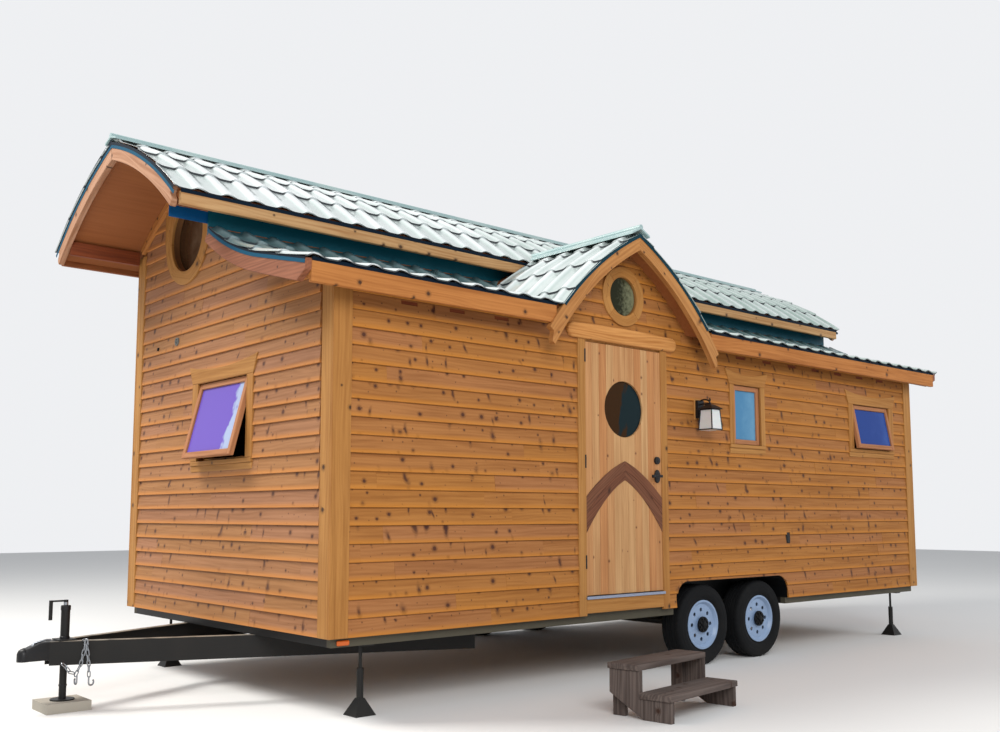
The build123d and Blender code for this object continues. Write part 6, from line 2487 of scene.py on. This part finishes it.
def chain(piece: Piece, points: Sequence[Vector], pitch: float = 0.034, wide: float = 0.026,
          wire: float = 0.0038) -> Vector:
    """Hang welded links along a path, each turned a quarter from the one before.

    Args:
        piece: The piece that the links are added to.
        points: Points of the path.
        pitch: Length that each link takes up.
        wide: Width over a link.
        wire: Radius of the link's wire.

    Returns:
        The middle of the last link.
    """
    lengths = [0.0]
    for before, after in zip(points, points[1:]):
        lengths.append(lengths[-1] + (after - before).length)
    bend = wide / 2 - wire
    round_end = arc(bend, -math.pi / 2, math.pi / 2, 6, pitch / 2 + wire - bend)
    loop = [Vector((way * x, way * y, 0.0)) for way in (1, -1) for x, y in round_end]
    count = int(lengths[-1] / pitch)
    for number in range(count):
        distance = (number + 0.5) * pitch
        index = max(i for i, length in enumerate(lengths[:-1]) if length <= distance)
        start, end = points[index], points[index + 1]
        share = (distance - lengths[index]) / (lengths[index + 1] - lengths[index])
        forward = (end - start).normalized()
        side = forward.orthogonal().normalized()
        if number % 2:
            side = forward.cross(side)
        last = start.lerp(end, share)
        piece.add(tube(loop, wire, 6, closed=True), axes(last, forward, side))
    return last


@dataclass
class Trailer:
    """Frame, tongue, jack, stands and running gear."""

    beam_top: float = 0.443
    beam_foot: float = 0.291
    chain_x: float = -4.075
    chain_y: float = 0.437
    coupler_half: float = 0.042
    hook: float = 0.019

    def coupler(self) -> None:
        """Make the coupler: a body that narrows to a domed nose, its latch and its lever."""
        low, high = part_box("coupler")
        y = (low.y + high.y) / 2
        half = self.coupler_half
        nose = low.x + half
        piece = Piece("coupler_casting", IRON)
        side = [(high.x, low.z), (high.x, high.z), (nose + 0.085, high.z - 0.004),
                (nose + 0.02, high.z - 0.034), (nose, high.z - 0.036), (nose, low.z + 0.004),
                (nose + 0.03, low.z), (nose + 0.09, low.z)]
        piece.add(prism(side, 2 * half, 0.006, 2), along_house(0, y + half))
        rise = high.z - 0.034 - low.z
        dome = [(0.0, rise), (0.018, rise - 0.003), (0.033, rise - 0.014), (0.0415, rise - 0.034),
                (half, 0.012), (0.0415, 0.0), (0.031, 0.0), (0.030, 0.03), (0.0, 0.046)]
        piece.add(lathe(dome, 40, closed=False), moved(nose, y, low.z))
        piece.build("house", "black_metal", ["coupler"])
        latch = Piece("coupler_latch", ZINC)
        top = high.z - 0.012
        lever = ((0.045, -0.02), (0.060, 0.006), (0.135, 0.022), (0.165, 0.020))
        latch.add(tube([Vector((nose + a, y, top + b)) for a, b in lever], 0.006, 10))
        pin = [Vector((nose + 0.05, y + reach, top - 0.012)) for reach in (-0.026, 0.026)]
        latch.add(tube(pin, 0.007, 12))
        latch.build("house", "bare_steel")

    def chains(self) -> None:
        """Hang the two safety chains from the top of the near beam, with a hook on each."""
        piece = Piece("safety_chains", ZINC)
        x, y = self.chain_x, self.chain_y
        start = Vector((x, y + 0.03, self.beam_top + 0.006))
        lip = Vector((x + 0.005, y - 0.012, self.beam_top + 0.002))
        hanging = [Vector((x + 0.022, y - 0.022, self.beam_foot)), Vector((x + 0.03, y - 0.012, 0.185))]
        ends = [chain(piece, [start, lip, *hanging])]
        sag = ((-0.022, -0.145), (-0.048, -0.205), (-0.085, -0.195), (-0.12, -0.150), (-0.15, -0.125))
        loop = [start, lip]
        for along, down in sag:
            loop.append(Vector((lip.x + along, lip.y + 0.02 + (0.03 - along) * 0.05, lip.z + down)))
        chain(piece, loop)
        ends.append(loop[3] + Vector((0.004, 0.0, 0.004)))
        for turn, end in zip((0.3, 1.6), ends):
            foot = end - Vector((0.0, 0.0, 0.014))
            path = [foot]
            for index in range(11):
                bend = index * math.pi / 8
                out = self.hook * (1 - math.cos(bend))
                down = 0.040 + self.hook * math.sin(bend)
                path.append(foot + Vector((out * math.cos(turn), out * math.sin(turn), -down)))
            piece.add(tube(path, 0.0055, 8))
        piece.build("house", "bare_steel")

    def jack(self) -> None:
        """Make the jack's collars and the crank's bare pin."""
        low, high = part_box("tongue_jack")
        x, y = (low.x + high.x) / 2, (low.y + high.y) / 2
        piece = Piece("jack_collars", IRON)
        collars = (
            (high.z - 0.030, 0.030, 0.031),
            (self.beam_top + 0.008, 0.016, 0.031),
            (0.150, 0.012, 0.026),
        )
        for z, tall, radius in collars:
            profile = [(radius, 0.0), (radius, tall - 0.002), (radius - 0.002, tall), (0.02, tall),
                       (0.02, 0.0)]
            piece.add(lathe(profile, 36), moved(x, y, z))
        piece.build("house", "black_metal")
        pin = Piece("crank_pin", ZINC)
        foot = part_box("jack_crank")[0].z + 0.093
        pin.add(lathe([(0.0145, 0.0), (0.0145, 0.018), (0.0, 0.018)], 28, closed=False), moved(x, y, foot))
        pin.build("crank", "bare_steel")

    def build(self) -> None:
        """Make the small parts and dress the trailer."""
        self.coupler()
        self.chains()
        self.jack()
        dress(BEAM_STEEL, "tongue_beams")
        dress(BLACK_STEEL, "tongue_jack", "jack_crank", "crossmembers", "axles", "leaf_springs",
              "corner_stands")
        dress(HUB_BLACK, "wheel_wells")
        dress(RAIL_GREY, "frame_rails")
        dress(FLOOR_PLY, "floor_deck")
        dress(PALE_BLOCK, "jack_block")


@dataclass
class Wheels:
    """Tyres with their tread, rims, hubs and lug nuts."""

    radius: float = 0.335
    bead: float = 0.203
    steps: int = 120
    groove: float = 0.007
    hub: float = 0.058
    nuts: int = 8
    nut_circle: float = 0.047

    def tyre(self, node: str, body: str) -> None:
        """Make a tyre with grooves round its tread and cuts across its shoulders.

        Args:
            node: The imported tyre.
            body: The wheel's body.
        """
        low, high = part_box(node)
        middle, half = (low + high) / 2, (high.y - low.y) / 2
        tread = [(-0.074, 0.0), (-0.052, 0.0), (-0.050, 1.0), (-0.043, 1.0), (-0.041, 0.0), (-0.016, 0.0),
                 (-0.014, 1.0), (-0.007, 1.0), (-0.005, 0.0)]
        tread += [(-h, deep) for h, deep in tread[::-1]]
        side = [(0.331, 0.083), (0.322, 0.092), (0.306, 0.0975), (0.302, 0.0968), (0.298, 0.0985),
                (0.276, 0.0997), (0.272, 0.0988), (0.268, 0.0995), (0.246, 0.0985), (0.242, 0.0972),
                (0.226, 0.093), (0.216, 0.087), (0.212, 0.089), (self.bead, 0.084)]
        reach = (half - 0.0003) / 0.1
        outline = [(self.radius - self.groove * deep, h) for h, deep in tread]
        outline += [(r, h * reach) for r, h in side]
        outline += [(self.bead, -side[-1][1] * reach)] + [(r, -h * reach) for r, h in side[-2::-1]]

        def ripple(number: int, index: int) -> float:
            """Cut every third step of the shoulders and the ribs a little.

            Args:
                number: Number of the outline's point.
                index: Step round the axis.

            Returns:
                The cut, as extra radius.
            """
            height = abs(outline[number][1])
            cut = index % 3 == 0 and outline[number][0] > self.radius - 0.005
            return (-0.005 if height > 0.045 else -0.0025) if cut else 0.0

        piece = Piece(node + "_treaded", TYRE)
        piece.add(lathe(outline, self.steps, ripple), along_house(*middle))
        piece.build(body, "tyre", [node], smooth=40.0)

    def hubs(self, rim: str, body: str, way: int) -> None:
        """Add the black hub with its cap and nuts to a rim.

        Args:
            rim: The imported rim.
            body: The wheel's body.
            way: Outwards, along Y.
        """
        low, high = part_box(rim)
        middle = (low + high) / 2
        near = [v.co.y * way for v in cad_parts[rim].data.vertices
                if math.hypot(v.co.x - middle.x, v.co.z - middle.z) < self.hub * 1.02]
        place = axes((middle.x, max(near) * way, middle.z), (-way, 0, 0), (0, 0, 1))
        piece = Piece(rim.replace("rim", "hub"), HUB_BLACK)
        plate = [(0.0, 0.004), (self.hub + 0.006, 0.004), (self.hub + 0.008, 0.0),
                 (self.hub + 0.008, -0.012), (0.0, -0.012)]
        cap = [(0.0, 0.020), (0.017, 0.020), (0.024, 0.017), (0.026, 0.011), (0.031, 0.010), (0.031, 0.002),
               (0.0, 0.002)]
        for profile in (plate, cap):
            piece.add(lathe(profile, 36, closed=False), place)
        for index in range(self.nuts):
            turn = math.tau * (index + 0.5) / self.nuts
            x, y = self.nut_circle * math.cos(turn), self.nut_circle * math.sin(turn)
            piece.add(prism(circle(0.0105, count=6), 0.012, 0.002), place @ moved(x, y, 0.003))
        piece.build(body, "black_metal")

    def build(self) -> None:
        """Make all four wheels."""
        for axle in ("front", "rear"):
            for side, way in (("door_side", -1), ("far_side", 1)):
                body = f"wheel_{axle}_{side}"
                self.tyre(f"tyre_{axle}_{side}", body)
                # The rims wear white paint in painted blue shade.
                dress(RIM_PAINTED_SHADE, f"rim_{axle}_{side}")
                self.hubs(f"rim_{axle}_{side}", body, way)


@dataclass
class Stool:
    """The step stool in front of the door."""

    distance: float = 1.906
    reach: float = 1.097
    turn: float = 8.0
    wide: float = 0.830
    rise: float = 0.165
    tread: float = 0.235
    thick: float = 0.038
    side: float = 0.038
    inset: float = 0.010
    leg: float = 0.089
    notch: float = 0.12

    def build(self) -> None:
        """Make the treads, sides and legs."""
        piece = Piece("stool_boards", OLD_WOOD, 71)
        middle = moved(plan.along(self.distance), plan.across(-self.reach), 0)
        place = middle @ Matrix.Rotation(math.radians(self.turn), 4, "Z")
        for level, way in ((2 * self.rise, 1), (self.rise, -1)):
            back = (way - 1) * self.tread / 2
            outline = rectangle(self.wide, self.tread - 0.003, -self.wide / 2, back + 0.0015)
            piece.add(prism(outline, self.thick, 0.005, 2), place @ moved(0, 0, level - self.thick))
        high, low = 2 * self.rise - self.thick, self.rise - self.thick
        front, back = self.inset - self.tread, self.tread - self.inset
        outline = [(back, high), (0, high), (0, low), (front, low), (front, 0), (front * self.notch, 0),
                   (back, high / 2)]
        leg = rectangle(self.leg, high - 0.001, back - self.leg, 0)
        for way in (1, -1):
            outer = way * (self.wide / 2 - self.inset)
            start = outer if way < 0 else outer - self.side
            piece.add(prism(outline, self.side, 0.003), place @ across_house(start), upright)
            beside = place @ across_house(start - way * self.side)
            piece.add(prism(leg, self.side - 0.001, 0.003), beside, upright)
        piece.build("house", "weathered_wood", ["step_stool"])


@dataclass
class Studio:
    """Floor, background, lamps and the camera at the photograph's place."""

    eye: tuple[float, float, float] = (-6.537, -6.429, 1.254)
    heading: float = 41.26
    pitch: float = 5.84
    lens: float = 37.2
    rise: float = 0.043
    floor_size: float = 60.0
    white: Colour = (0.86, 0.87, 0.89, 1.0)
    daylight: Colour = (0.92, 0.95, 1.0, 1.0)

    def floor(self) -> None:
        """Make the pale floor."""
        mesh = bpy.data.meshes.new("floor")
        half = self.floor_size / 2
        corners = [(x, y, 0.0) for x, y in rectangle(self.floor_size, self.floor_size, -half, -half)]
        mesh.from_pydata(corners, [], [(0, 1, 2, 3)])
        bench = Bench("pale_floor")
        mottle = bench.noise(bench.object_place(), 0.8, 3.0)
        bench.set(Base_Color=bench.mix(mottle * 0.3, (0.78, 0.78, 0.77, 1), (0.72, 0.72, 0.71, 1)))
        bench.set(Roughness=0.9)
        mesh.materials.append(bench.material)
        stand("floor", mesh)

    def world(self) -> None:
        """Light the scene softly from all round, with a pale background where it is seen or mirrored."""
        world = bpy.data.worlds.new("studio")
        bpy.context.scene.world = world
        world.use_nodes = True
        nodes, links = world.node_tree.nodes, world.node_tree.links
        nodes.clear()
        path = nodes.new("ShaderNodeLightPath")
        grounds = []
        for colour, strength in ((self.daylight, 0.5), (self.white, 1.0)):
            ground = nodes.new("ShaderNodeBackground")
            ground.inputs["Color"].default_value = colour
            ground.inputs["Strength"].default_value = strength
            grounds.append(ground)
        seen = path.outputs["Is Camera Ray"]
        for ray in ("Is Glossy Ray", "Is Transmission Ray"):
            either = nodes.new("ShaderNodeMath")
            either.operation = "MAXIMUM"
            links.new(seen, either.inputs[0])
            links.new(path.outputs[ray], either.inputs[1])
            seen = either.outputs[0]
        mix = nodes.new("ShaderNodeMixShader")
        for number, source in enumerate((seen, *[ground.outputs[0] for ground in grounds])):
            links.new(source, mix.inputs[number])
        out = nodes.new("ShaderNodeOutputWorld")
        links.new(mix.outputs[0], out.inputs["Surface"])

    def aim(self, made: bpy.types.Object, place: Sequence[float], way: Vector) -> None:
        """Set a lamp or the camera at a place, facing a direction.

        Args:
            made: The lamp or camera.
            place: Where it stands.
            way: Where it faces.
        """
        made.location = place
        made.rotation_mode = "QUATERNION"
        made.rotation_quaternion = way.to_track_quat("-Z", "Y")

    def lamp(self, name: str, place: Sequence[float], target: Sequence[float], size: float, power: float,
             colour: Sequence[float] = (1.0, 1.0, 1.0), mirrored: bool = True) -> None:
        """Hang a square soft lamp that faces a point.

        Args:
            name: The lamp's name.
            place: Where it hangs.
            target: The point.
            size: Its side.
            power: Its power in watts.
            colour: Its colour.
            mirrored: Whether glass mirrors it.
        """
        data = bpy.data.lights.new(name, "AREA")
        data.shape = "SQUARE"
        data.size = size
        data.energy = power
        data.color = colour
        made = stand(name, data)
        made.visible_glossy = mirrored
        self.aim(made, place, Vector(target) - Vector(place))

    def camera(self) -> None:
        """Set the camera where the photograph was taken."""
        data = bpy.data.cameras.new("view")
        data.lens = self.lens
        data.sensor_width = 36.0
        data.shift_y = self.rise
        data.clip_end = 200.0
        made = stand("view", data)
        turn, lift = math.radians(self.heading), math.radians(self.pitch)
        way = Vector((math.sin(turn) * math.cos(lift), math.cos(turn) * math.cos(lift), math.sin(lift)))
        self.aim(made, self.eye, way)
        bpy.context.scene.camera = made

    def build(self) -> None:
        """Make the stage."""
        self.floor()
        self.world()
        self.lamp("front", (-8.0, -12.0, 8.0), (0, 0, 1.5), 7.0, 1150.0)
        self.lamp("sun", (-8.0, 5.0, 11.0), (0, 0, 2.0), 5.0, 1700.0, (1.0, 0.97, 0.92))
        self.lamp("fill", (10.0, -8.0, 6.0), (1, 0, 1.5), 7.0, 420.0, mirrored=False)
        self.camera()
        bpy.context.scene.view_settings.view_transform = "Standard"


def main() -> None:
    """Build and dress every part of the house, then the studio."""
    logging.basicConfig(level=logging.INFO, format="%(name)s: %(message)s")
    parts = (Siding(), CornerBoards(), Tiles(), Flashing(), CurvedTimber(), Fascias(), EaveVents(),
             WindowJoinery(), Door(), Lantern(), SmallFittings(), Trailer(), Wheels(), Stool(), Studio())
    for part in parts:
        part.build()
        log.info("%s done", type(part).__name__)


if __name__ == "__main__":
    main()
